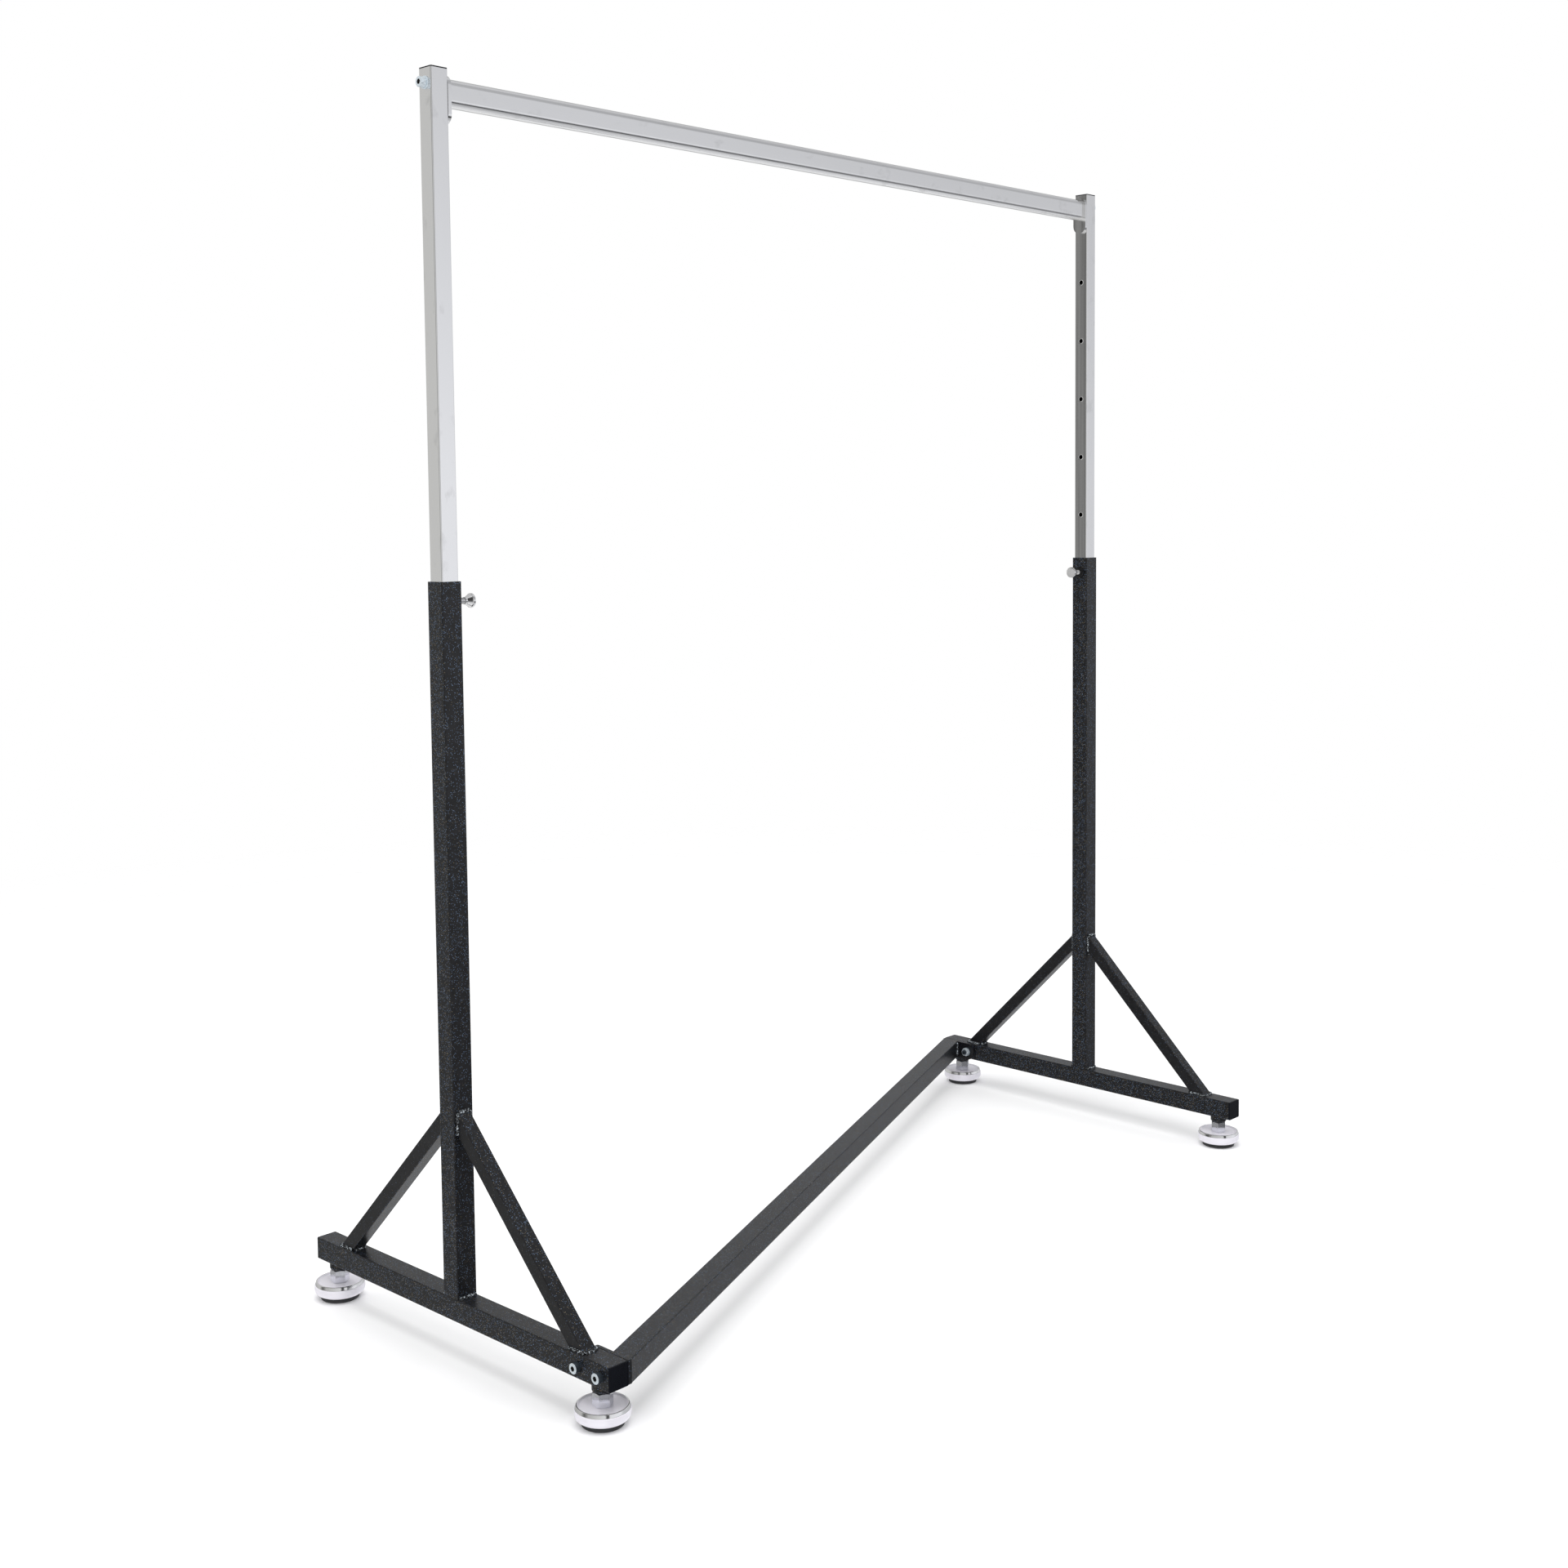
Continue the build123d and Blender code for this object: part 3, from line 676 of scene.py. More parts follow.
def turned_pad(paint, colours):
    """Satin plating of the foot pads, with fine marks round the side."""
    here = paint.here()
    rings = paint.noise(paint.stretched(here, (0.05, 0.05, 1)), 1400, 2)
    haze = paint.noise(here, 90, 3)
    cool = opaque([min(1, c * f) for c, f in zip(colours.chrome, (1.08, 1.05, 1.14))])
    paint.surface(
        Base_Color=paint.blend(0.4 * rings, cool, opaque([c * 0.92 for c in colours.chrome])),
        Metallic=0.18 + 0.1 * haze,
        Roughness=0.27 + 0.10 * haze + 0.06 * rings,
        Normal=paint.bump(rings, 0.00004, 0.4),
    )


def painted_recess_shade(paint, colours):
    """Near-black dull metal inside an upright and in a screw's hex socket: painted shade in these recesses.
    """
    here = paint.here()
    stain = paint.noise(here, 160, 3)
    dark = opaque([0.05 * c for c in colours.chrome])
    paint.surface(Base_Color=paint.blend(stain, dark, opaque([0.09 * c for c in colours.chrome])),
                  Metallic=0.5, Roughness=0.45 + 0.2 * stain, Normal=paint.bump(stain, 0.0001, 0.5))


def zinc_plate(paint, colours):
    """Bluish bright zinc with a faint mottle."""
    here = paint.here()
    mottle = paint.noise(here, 420, 4)
    tint = paint.blend(mottle, opaque([c * 0.85 for c in colours.zinc]), opaque(colours.zinc))
    paint.surface(Base_Color=tint, Metallic=0.55 + 0.1 * mottle, Roughness=0.20 + 0.20 * mottle,
                  Normal=paint.bump(mottle, 0.00005, 0.5))


def zinc_with_painted_shade(paint, colours):
    """Zinc plate painted down to a tenth to a fifth of its colour: painted shade and a painted reflection of
    the dark tube on the sides of the joint screws' heads, and the same darkened zinc on every screw thread
    and on the joint washers.
    """
    here = paint.here()
    mottle = paint.noise(here, 420, 4)
    cool = opaque([0.10 * c * f for c, f in zip(colours.zinc, (0.55, 0.85, 1.15))])
    paint.surface(Base_Color=paint.blend(mottle, cool, opaque([0.20 * c for c in colours.zinc])),
                  Metallic=0.8 + 0.1 * mottle, Roughness=0.28 + 0.20 * mottle,
                  Normal=paint.bump(mottle, 0.00008, 0.5))


def moulded_plastic(paint, colours):
    """Black cap with a fine spark-eroded grain."""
    here = paint.here()
    grain = paint.noise(here, 1600, 2)
    patch = paint.noise(here, 60, 3)
    shade_of = paint.blend(patch, opaque(colours.plastic), opaque([c * 1.9 for c in colours.plastic]))
    paint.surface(Base_Color=shade_of, Roughness=0.20 + 0.12 * grain + 0.06 * patch, Specular_IOR_Level=0.10,
                  Normal=paint.bump(grain, 0.00012, 0.5))


def moulded_rubber(paint, colours):
    """Black rubber with a dusty bloom."""
    here = paint.here()
    grain = paint.noise(here, 1100, 3)
    bloom = paint.noise(here, 120, 4)
    shade_of = paint.blend(bloom, opaque(colours.rubber), opaque([c * 2.6 for c in colours.rubber]))
    paint.surface(Base_Color=shade_of, Roughness=0.42 + 0.22 * bloom,
                  Normal=paint.bump(grain, 0.0002, 0.5))


def pale_floor(paint, colours):
    """Smooth matt studio floor that fades away round its edge."""
    here = paint.here()
    cloud = paint.noise(here, 2.5, 3)
    east, north = paint.parts_of(here)[:2]
    reach = (east * east + north * north) ** 0.5
    shade_of = paint.blend(cloud, opaque(colours.floor), opaque([min(1, c * 1.02) for c in colours.floor]))
    paint.surface(Base_Color=shade_of, Roughness=0.6 + 0.1 * cloud, Specular_IOR_Level=0.0,
                  Alpha=paint.ramp(reach / FLOOR_REACH, [(0.28, 1), (0.62, 0)]))


FINISH_OF_SLOT = {
    "black_frame": powder_coat,
    "chrome_tube": upright_chrome,
    "chrome_fittings": fitting_chrome,
    "zinc_screws": zinc_plate,
    "black_plastic": moulded_plastic,
    "black_rubber": moulded_rubber,
}


def finish(painter):
    """The material that a painter makes, made the first time that it is asked for."""
    name = painter.__name__
    if name not in bpy.data.materials:
        material = bpy.data.materials.new(name)
        painter(Paint(material), bpy.context.scene.rail_stand_colours)
    return bpy.data.materials[name]


def add_finishes(piece, *painters):
    """Fill a piece's material slots; the first one covers all of it to begin with."""
    for painter in painters:
        piece.data.materials.append(finish(painter))


def hand_over(piece, node, painter=None):
    """Name a finished piece, give it its finish, and let it stand for its frame node."""
    piece.name = f"{node}_piece"
    piece.data.name = piece.name
    if not piece.data.materials:
        add_finishes(piece, painter or FINISH_OF_SLOT[SLOT_OF[node]])
    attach(piece, BODY_OF[node])
    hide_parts(node)


def hand_over_pair(piece, name, painter=None):
    """Hand over a left piece and its half-turn copy on the right."""
    right = half_turn_copy(piece)
    hand_over(piece, f"left_{name}", painter)
    hand_over(right, f"right_{name}", painter)


def hand_over_four(piece, name, painter=None):
    """Hand over a piece made for the left rear corner, and its copies at the other three."""
    post = centre_of("left_post")
    left_front = half_turn_copy(piece, post.x, post.y)
    right_front = half_turn_copy(piece)
    right_rear = half_turn_copy(left_front)
    for corner, made in (("left_rear", piece), ("left_front", left_front),
                         ("right_front", right_front), ("right_rear", right_rear)):
        hand_over(made, f"{corner}_{name}", painter)


# ---- places of the screws
def screw_rows(size):
    """Y of the outer and the inner joint screw on the left side."""
    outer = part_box("joint_screws")[0].y + size.screw_head / 2
    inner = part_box("joint_washers")[0].y + size.washer / 2
    return outer, inner


class Undoable:
    """Shared by the operators: each can be undone and redone."""
    bl_options = {"REGISTER", "UNDO"}


class RAILSTAND_OT_foot_bars(Undoable, bpy.types.Operator):
    """Make the two foot bars, drilled for the joint screws and the feet"""
    bl_idname = "rail_stand.foot_bars"
    bl_label = "Foot Bars"

    def execute(self, context):
        size = context.scene.rail_stand_sizes
        low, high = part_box("left_foot_bar")
        centre = centre_of("left_foot_bar")
        side = high.x - low.x
        bar = square_tube(side, size.frame_wall, size.frame_corner, size.frame_bore_corner, high.y - low.y)
        place(bar, at=(centre.x, low.y, centre.z), along="Y")
        for y in screw_rows(size):
            carve(bar, drill(size.screw_clearance, 2 * side, (low.x - side / 2, y, centre.z), "X"))
        for end in ENDS:
            foot = centre_of(f"left_{end}_foot_stud")
            carve(bar, drill(size.foot_thread + HOLE_PLAY, side, (foot.x, foot.y, low.z - side / 2), "Z"))
        soften(bar, 0.0002)
        shade(bar)
        hand_over_pair(bar, "foot_bar")
        return {"FINISHED"}


class RAILSTAND_OT_posts(Undoable, bpy.types.Operator):
    """Make the two posts, open at the top and drilled for the lock screws"""
    bl_idname = "rail_stand.posts"
    bl_label = "Posts"

    def execute(self, context):
        size = context.scene.rail_stand_sizes
        low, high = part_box("left_post")
        centre = centre_of("left_post")
        lock = centre_of("left_lock_collar")
        post = square_tube(high.x - low.x, size.frame_wall, size.frame_corner, size.frame_bore_corner,
                           high.z - low.z)
        place(post, at=(centre.x, centre.y, low.z))
        carve(post, drill(size.screw + HOLE_PLAY, high.x - centre.x, (centre.x, 0, lock.z), "X"))
        soften(post, 0.0003)
        shade(post)
        hand_over_pair(post, "post")
        return {"FINISHED"}


class RAILSTAND_OT_braces(Undoable, bpy.types.Operator):
    """Make the four braces, cut to fit the foot bars and the posts"""
    bl_idname = "rail_stand.braces"
    bl_label = "Braces"

    def execute(self, context):
        size = context.scene.rail_stand_sizes
        low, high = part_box("left_rear_brace")
        centre = centre_of("left_rear_brace")
        side = size.brace_side
        reach = 2 * (high.z - low.z)
        brace = square_tube(side, size.brace_wall, size.brace_corner, size.brace_corner / 4, reach)
        # the tube's outer face runs through the toe and the top of the box
        inset = side / 2 / math.sqrt(2)
        place(brace, at=(0, 0, -reach / 2))
        choose(brace)
        brace.rotation_euler = (math.radians(45), 0, 0)
        brace.location = (centre.x, centre.y - inset, centre.z - inset)
        bpy.ops.object.transform_apply(location=True, rotation=True, scale=True)
        cut_end(brace, (centre.x, low.y, low.z), (0, 0, -1))
        cut_end(brace, (centre.x, low.y, low.z), (0, -1, 0))
        shade(brace)
        hand_over_four(brace, "brace")
        return {"FINISHED"}


class RAILSTAND_OT_floor_bar(Undoable, bpy.types.Operator):
    """Make the diagonal floor bar, mitred to the joint plates"""
    bl_idname = "rail_stand.floor_bar"
    bl_label = "Floor Bar"

    def execute(self, context):
        size = context.scene.rail_stand_sizes
        low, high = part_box("floor_bar")
        side = high.z - low.z
        outer = screw_rows(size)[0]
        angle = math.atan2(-outer, high.x)
        reach = 2 * math.hypot(high.x, outer) + 4 * side
        bar = square_tube(side, size.frame_wall, size.frame_corner, size.frame_bore_corner, reach)
        place(bar, at=(-reach / 2, 0, (low.z + high.z) / 2), along="X")
        place(bar, spin=angle)
        cut_end(bar, low, (-1, 0, 0))
        cut_end(bar, high, (1, 0, 0))
        shade(bar)
        hand_over(bar, "floor_bar")
        return {"FINISHED"}


class RAILSTAND_OT_joint_plates(Undoable, bpy.types.Operator):
    """Make the two round-ended plates that the floor bar is welded to"""
    bl_idname = "rail_stand.joint_plates"
    bl_label = "Joint Plates"

    def execute(self, context):
        size = context.scene.rail_stand_sizes
        low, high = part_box("left_joint_plate")
        centre = centre_of("left_joint_plate")
        height, reach = high.z - low.z, high.y - low.y
        edge = size.plate_edge
        plate = flat_plate(height, reach, high.x - low.x, [
            (lambda co: co.y > 0, height / 2 - FINE),
            (lambda co: co.y < 0 and abs(co.x) > height / 2 - FINE, 2 * edge),
        ])
        place(plate, at=(low.x, centre.y, centre.z), along="X")
        for y in screw_rows(size):
            carve(plate, drill(size.screw_clearance, 4 * (high.x - low.x), (low.x - 0.005, y, centre.z), "X"))
        soften(plate, edge)
        shade(plate)
        hand_over_pair(plate, "joint_plate")
        return {"FINISHED"}


def socket_screw(size, reach, thread, side_painter):
    """Socket screw along +Z with the seat of its head at z = 0, threaded over its last part."""
    radius, height = size.screw_head / 2, size.screw_head_height
    flutes, flute_depth = 36, 0.038
    head = turned([(0, -height, 0), (radius, -height, 0.0009), (radius, 0, 0.0003), (0, 0, 0)],
                  steps=2 * flutes)
    step = math.pi / flutes

    def in_flute(vert):
        on_side = math.hypot(vert.co.x, vert.co.y) > radius - FINE * 50
        turn = round(math.atan2(vert.co.y, vert.co.x) / step)
        return on_side and turn % 2 == 1

    open_mesh(head)
    pick(head, "VERT", in_flute)
    scale_about((0, 0, 0), (1 - flute_depth, 1 - flute_depth, 1))
    start_clean()
    socket_floor = -height / 2
    carve(head, hexagon(size.screw_socket, -height - 0.001, socket_floor))
    soften(head, 0.00025, steps=1, angle=60)
    add_finishes(head, zinc_plate, side_painter, painted_recess_shade)
    socket = size.screw_socket / math.sqrt(3)

    def in_socket(part):
        middle = part.calc_center_median()
        return math.hypot(*middle.xy) < socket and 0.0003 - height < middle.z < 0.0002 + socket_floor

    # slot 1 is the sides and seat of the head; for the joint screws it is zinc painted dark, a painted shade
    # and painted reflection of the dark tube
    paint_faces(head, 1, lambda part: part.calc_center_median().z > 0.0007 - height)
    # the hex socket is painted near-black: painted shade in the recess
    paint_faces(head, 2, in_socket)
    plain = reach - thread
    run_out = 0.0008
    shank = turned([(0, -FINE, 0), (size.screw / 2, -FINE, 0), (size.screw / 2, plain, 0),
                    (size.screw / 2 - run_out, plain + run_out, 0), (0, plain + run_out, 0)],
                   steps=HOLE_STEPS)
    rod = threaded_rod(size.screw, size.screw_pitch, plain, reach)
    # the thread gets the zinc painted dark
    add_finishes(rod, zinc_with_painted_shade)
    screw = joined([head, shank, rod])
    shade(screw)
    return screw


class RAILSTAND_OT_joint_screws(Undoable, bpy.types.Operator):
    """Make the four socket screws of the floor bar's joints"""
    bl_idname = "rail_stand.joint_screws"
    bl_label = "Joint Screws"

    def execute(self, context):
        size = context.scene.rail_stand_sizes
        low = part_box("joint_screws")[0]
        seat = low.x + size.screw_head_height
        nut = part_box("joint_nuts")
        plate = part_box("left_joint_plate")[1].x
        reach = plate + size.washer_thickness + size.nut_height + PAST_THE_NUT - seat
        # the sides of these heads are zinc painted dark: painted shade and a painted reflection of the dark
        # tube
        first = socket_screw(size, reach, thread=0.016, side_painter=zinc_with_painted_shade)
        height = (nut[0].z + nut[1].z) / 2
        outer, inner = screw_rows(size)
        second = place(copy_of(first), at=(seat, inner, height), along="X")
        place(first, at=(seat, outer, height), along="X")
        left = joined([first, second])
        hand_over(joined([left, half_turn_copy(left)]), "joint_screws")
        return {"FINISHED"}


def plain_washer(size):
    """Washer from z = 0 up, with one softened edge."""
    inner, outer, thick = size.screw_clearance / 2, size.washer / 2, size.washer_thickness
    return turned([(inner, 0, 0), (outer, 0, 0.00025), (outer, thick, 0.0004), (inner, thick, 0.0002)])


class RAILSTAND_OT_joint_washers(Undoable, bpy.types.Operator):
    """Make the washers under the outer nuts of the joints"""
    bl_idname = "rail_stand.joint_washers"
    bl_label = "Joint Washers"

    def execute(self, context):
        size = context.scene.rail_stand_sizes
        low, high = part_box("joint_washers")
        washer = plain_washer(size)
        place(washer, at=(low.x, screw_rows(size)[1], (low.z + high.z) / 2), along="X")
        shade(washer)
        # the washers get the zinc painted dark
        hand_over(joined([washer, half_turn_copy(washer)]), "joint_washers", zinc_with_painted_shade)
        return {"FINISHED"}


class RAILSTAND_OT_joint_nuts(Undoable, bpy.types.Operator):
    """Make the hexagon nuts of the joints"""
    bl_idname = "rail_stand.joint_nuts"
    bl_label = "Joint Nuts"

    def execute(self, context):
        size = context.scene.rail_stand_sizes
        low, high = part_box("joint_nuts")
        height = size.nut_height
        bore = size.screw / 2 + THREAD_GAP
        nut = dressed_hexagon(size.nut_flats, 0, height, 0.0009)
        lead = 0.0007
        carve(nut, turned([(0, -0.001, 0), (bore + lead + 0.001, -0.001, 0), (bore, lead, 0),
                           (bore, height - lead, 0), (bore + lead + 0.001, height + 0.001, 0),
                           (0, height + 0.001, 0)], steps=HOLE_STEPS))
        soften(nut, 0.0002, steps=2, angle=25)
        shade(nut)
        outer, inner = screw_rows(size)
        middle_height = (low.z + high.z) / 2
        second = place(copy_of(nut), at=(low.x + size.washer_thickness, inner, middle_height), along="X")
        place(nut, at=(low.x, outer, middle_height), along="X")
        left = joined([nut, second])
        hand_over(joined([left, half_turn_copy(left)]), "joint_nuts")
        return {"FINISHED"}


# ---- welds
def weld_bead(start, stop, lean, radius, ripple, dice):
    """Rippled bead from start to stop; lean shifts it out of its corner."""
    start, stop = Vector(start) + Vector(lean), Vector(stop) + Vector(lean)
    run = stop - start
    count = max(3, round(run.length / ripple))
    step = run / (2 * count)
    start_clean()
    bpy.ops.mesh.primitive_circle_add(vertices=14, radius=0.55 * radius, fill_type="NGON",
                                      location=start, rotation=run.to_track_quat("Z", "Y").to_euler())
    bead = bpy.context.object
    bpy.ops.object.transform_apply(location=True, rotation=True, scale=True)
    open_mesh(bead)
    here = start.copy()
    width = 0.55
    for i in range(2 * count):
        swell = 0.97 if i % 2 == 0 else 0.78
        swell += 0.05 * dice.random()
        wanted = 0.5 if i == 2 * count - 1 else swell
        extrude_by(*step)
        here += step
        grow = wanted / width
        scale_about(here, (grow, grow, grow))
        width = wanted
    point_outwards()
    start_clean()
    shade(bead)
    return bead


class RAILSTAND_OT_frame_welds(Undoable, bpy.types.Operator):
    """Lay the weld beads round the posts' feet and both ends of each brace"""
    bl_idname = "rail_stand.frame_welds"
    bl_label = "Frame Welds"

    def execute(self, context):
        size = context.scene.rail_stand_sizes
        dice = random.Random(7)
        low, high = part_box("left_rear_brace")
        post_x = centre_of("left_post").x
        flat = size.brace_side * math.sqrt(2)
        half_post = extent_of("left_post").x / 2 - size.frame_corner
        half_brace = size.brace_side / 2 - size.brace_corner
        bar_top, face = low.z, low.y
        toe, heel = high.y, high.y - flat
        top, under = high.z, high.z - flat
        # beads lean out of their corners, so that they stay clear of the bores
        out, back = 0.25 * size.bead, -1.2 * size.bead
        across = [
            (half_post, face, bar_top, (0, out, out)),
            (half_brace, toe, bar_top, (0, out, 0)),
            (half_brace, heel, bar_top, (0, back, out)),
            (half_brace, face, top, (0, out, out)),
            (half_brace, face, under, (0, out, back)),
        ]
        runs = [((post_x - half, y, z), (post_x + half, y, z), lean) for half, y, z, lean in across]
        for side in (-1, 1):
            x = post_x + side * size.brace_side / 2
            runs.append(((x, heel, bar_top), (x, toe, bar_top), (0, 0, out)))
            runs.append(((x, face, under), (x, face, top), (0, out, 0)))
        rear = joined([weld_bead(*run, size.bead, size.ripple, dice) for run in runs])
        hand_over_pair(joined([rear, half_turn_copy(rear, post_x, 0)]), "weld_beads", weld_coat)
        return {"FINISHED"}


class RAILSTAND_OT_joint_welds(Undoable, bpy.types.Operator):
    """Lay the weld beads between the floor bar and the joint plates"""
    bl_idname = "rail_stand.joint_welds"
    bl_label = "Joint Welds"

    def execute(self, context):
        size = context.scene.rail_stand_sizes
        dice = random.Random(11)
        low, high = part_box("joint_weld_beads")
        bar_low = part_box("floor_bar")[0]
        outer = screw_rows(size)[0]
        half_cut = outer - bar_low.y
        corner = (bar_low.x, outer + half_cut)
        bead = weld_bead((*corner, low.z + 0.001), (*corner, high.z - 0.001), (0.0005, 0.0005, 0),
                         0.9 * size.bead, size.ripple, dice)
        hand_over(joined([bead, half_turn_copy(bead)]), "joint_weld_beads", weld_coat)
        return {"FINISHED"}


def moulded_cap(side, corner, face, plug, wall, reach, dish):
    """Cap for a square tube: its face from z = 0 up, its hollow plug below."""
    cap = flat_plate(side, side, face, [(lambda co: True, corner)])
    if dish:
        open_mesh(cap)
        pick(cap, "FACE", lambda part: part.normal.z > 0.9)
        bpy.ops.mesh.inset(thickness=0.8 * corner)
        extrude_by(0, 0, -dish)
        start_clean()
    soften(cap, 0.0005, steps=3, angle=40)
    sleeve = hollow_bar((plug, plug, 0.0005), (plug - 2 * wall, plug - 2 * wall, 0.0005), reach + face / 2)
    place(sleeve, at=(0, 0, -reach))
    carve(cap, sleeve, "UNION")
    shade(cap)
    return cap


class RAILSTAND_OT_end_caps(Undoable, bpy.types.Operator):
    """Make the plastic caps in the ends of the foot bars"""
    bl_idname = "rail_stand.end_caps"
    bl_label = "End Caps"

    def execute(self, context):
        size = context.scene.rail_stand_sizes
        low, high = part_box("left_rear_end_cap")
        centre = centre_of("left_rear_end_cap")
        side, face = high.x - low.x, size.cap_face
        cap = moulded_cap(side, size.frame_corner, face, side - 2 * size.frame_wall - 0.0002,
                          size.cap_wall, high.y - low.y - face, 0.0004)
        place(cap, at=(centre.x, high.y - face, centre.z), along="Y")
        hand_over_four(cap, "end_cap")
        return {"FINISHED"}


class RAILSTAND_OT_foot_bosses(Undoable, bpy.types.Operator):
    """Make the threaded bosses under the foot bars"""
    bl_idname = "rail_stand.foot_bosses"
    bl_label = "Foot Bosses"

    def execute(self, context):
        size = context.scene.rail_stand_sizes
        low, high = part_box("left_rear_foot_boss")
        centre = centre_of("left_rear_foot_boss")
        radius = (high.x - low.x) / 2
        bore = size.foot_thread / 2 + THREAD_GAP
        boss = turned([(bore, low.z, 0.0004), (radius - 0.002, low.z, 0.0006),
                       (radius, low.z + 0.002, 0.0008), (radius, high.z, 0.0003), (bore, high.z, 0)])
        shade(boss)
        place(boss, at=(centre.x, centre.y, 0))
        hand_over_four(boss, "foot_boss")
        return {"FINISHED"}


class RAILSTAND_OT_foot_studs(Undoable, bpy.types.Operator):
    """Make the foot studs: thread, hex, and the riveted neck inside the pad"""
    bl_idname = "rail_stand.foot_studs"
    bl_label = "Foot Studs"

    def execute(self, context):
        size = context.scene.rail_stand_sizes
        low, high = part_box("left_rear_foot_stud")
        centre = centre_of("left_rear_foot_stud")
        pad_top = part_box("left_rear_foot_pad")[1].z
        hex_low = pad_top - size.pad_dish + 0.0001
        hex_high = hex_low + size.foot_hex_height
        bar = dressed_hexagon(size.foot_hex, hex_low, hex_high, 0.0016)
        soften(bar, 0.0003, steps=2, angle=25)
        rod = threaded_rod(size.foot_thread, size.foot_pitch, hex_high - 0.0005, high.z, 0.001)
        rivet, rivet_height = 0.008, 0.0022
        neck = turned([(0, low.z, 0), (rivet, low.z, 0.0006), (rivet, low.z + rivet_height, 0.0004),
                       (size.foot_neck / 2, low.z + rivet_height, 0),
                       (size.foot_neck / 2, hex_low + 0.0005, 0),
                       (0, hex_low + 0.0005, 0)], steps=HOLE_STEPS)
        stud = joined([bar, rod, neck])
        shade(stud)
        place(stud, at=(centre.x, centre.y, 0))
        hand_over_four(stud, "foot_stud", stud_plate)
        return {"FINISHED"}


class RAILSTAND_OT_foot_pads(Undoable, bpy.types.Operator):
    """Make the chromed foot pads: dished top, stepped rim and rounded lower edge"""
    bl_idname = "rail_stand.foot_pads"
    bl_label = "Foot Pads"

    def execute(self, context):
        size = context.scene.rail_stand_sizes
        low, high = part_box("left_rear_foot_pad")
        centre = centre_of("left_rear_foot_pad")
        radius = (high.y - low.y) / 2
        dish = high.z - size.pad_dish
        rim = high.z - size.pad_rim
        hollow, web = 0.0085, dish - 0.0115     # the space for the rivet, up to the web
        neck = size.foot_neck / 2 + THREAD_GAP
        pad = turned([
            (neck, dish, 0.0003), (radius - 0.0058, dish, 0.0012), (radius - 0.0036, high.z, 0.0007),
            (radius - 0.0020, high.z, 0.0010), (radius - 0.0010, rim, 0.0004), (radius, rim, 0.0006),
            (radius, low.z, size.pad_edge), (hollow, low.z, 0.0004), (hollow, web, 0.0004), (neck, web, 0),
        ], steps=96)
        add_finishes(pad, turned_pad, fitting_chrome)

        def on_lip(part):
            middle = part.calc_center_median()
            return middle.z > rim + FINE and math.hypot(*middle.xy) > radius - 0.0045

        paint_faces(pad, 1, on_lip)
        shade(pad)
        place(pad, at=(centre.x, centre.y, 0))
        hand_over_four(pad, "foot_pad")
        return {"FINISHED"}


class RAILSTAND_OT_foot_soles(Undoable, bpy.types.Operator):
    """Make the rubber soles, with a lip and ring grooves underneath"""
    bl_idname = "rail_stand.foot_soles"
    bl_label = "Foot Soles"

    def execute(self, context):
        low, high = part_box("left_rear_foot_sole")
        centre = centre_of("left_rear_foot_sole")
        radius = (high.y - low.y) / 2
        top = high.z
        outline = [(0, 0, 0)]
        for groove in (0.008, 0.014, 0.020):
            outline += [(groove - 0.0008, 0, 0.0002), (groove - 0.0004, 0.0008, 0),
                        (groove + 0.0004, 0.0008, 0), (groove + 0.0008, 0, 0.0002)]
        outline += [(radius, 0, 0.0012), (radius, 0.0042, 0.0004), (radius - 0.0007, 0.0046, 0.0003),
                    (radius - 0.0007, top, 0.0004), (0, top, 0)]
        sole = turned(outline, steps=96)
        shade(sole)
        place(sole, at=(centre.x, centre.y, 0))
        hand_over_four(sole, "foot_sole")
        return {"FINISHED"}


class RAILSTAND_OT_lock_collars(Undoable, bpy.types.Operator):
    """Make the stepped collars that the lock screws turn in"""
    bl_idname = "rail_stand.lock_collars"
    bl_label = "Lock Collars"

    def execute(self, context):
        size = context.scene.rail_stand_sizes
        low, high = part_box("left_lock_collar")
        centre = centre_of("left_lock_collar")
        wide, narrow = (high.y - low.y) / 2, 0.007
        thick = high.x - low.x
        bore = size.screw / 2 + THREAD_GAP
        step = 0.6 * thick
        collar = turned([(bore, 0, 0), (wide, 0, 0), (wide, step, 0.0007), (narrow, step, 0.0005),
                         (narrow, thick, 0.0006), (bore, thick, 0.0003)])
        shade(collar)
        place(collar, at=(low.x, centre.y, centre.z), along="X")
        hand_over_pair(collar, "lock_collar", gloss_coat)
        return {"FINISHED"}


class RAILSTAND_OT_lock_studs(Undoable, bpy.types.Operator):
    """Make the lock screws' threaded studs with their plain tips"""
    bl_idname = "rail_stand.lock_studs"
    bl_label = "Lock Studs"

    def execute(self, context):
        size = context.scene.rail_stand_sizes
        low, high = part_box("left_lock_stud")
        centre = centre_of("left_lock_stud")
        reach = high.x - low.x
        dog, dog_length = 0.00325, 0.0052
        tip = turned([(0, 0, 0), (dog, 0, 0.0007), (dog, dog_length + 0.0006, 0),
                      (0, dog_length + 0.0006, 0)], steps=HOLE_STEPS)
        rod = threaded_rod(size.screw, size.screw_pitch, dog_length, reach, 0.0004)
        stud = joined([tip, rod])
        shade(stud)
        place(stud, at=(low.x, centre.y, centre.z), along="X")
        hand_over_pair(stud, "lock_stud")
        return {"FINISHED"}


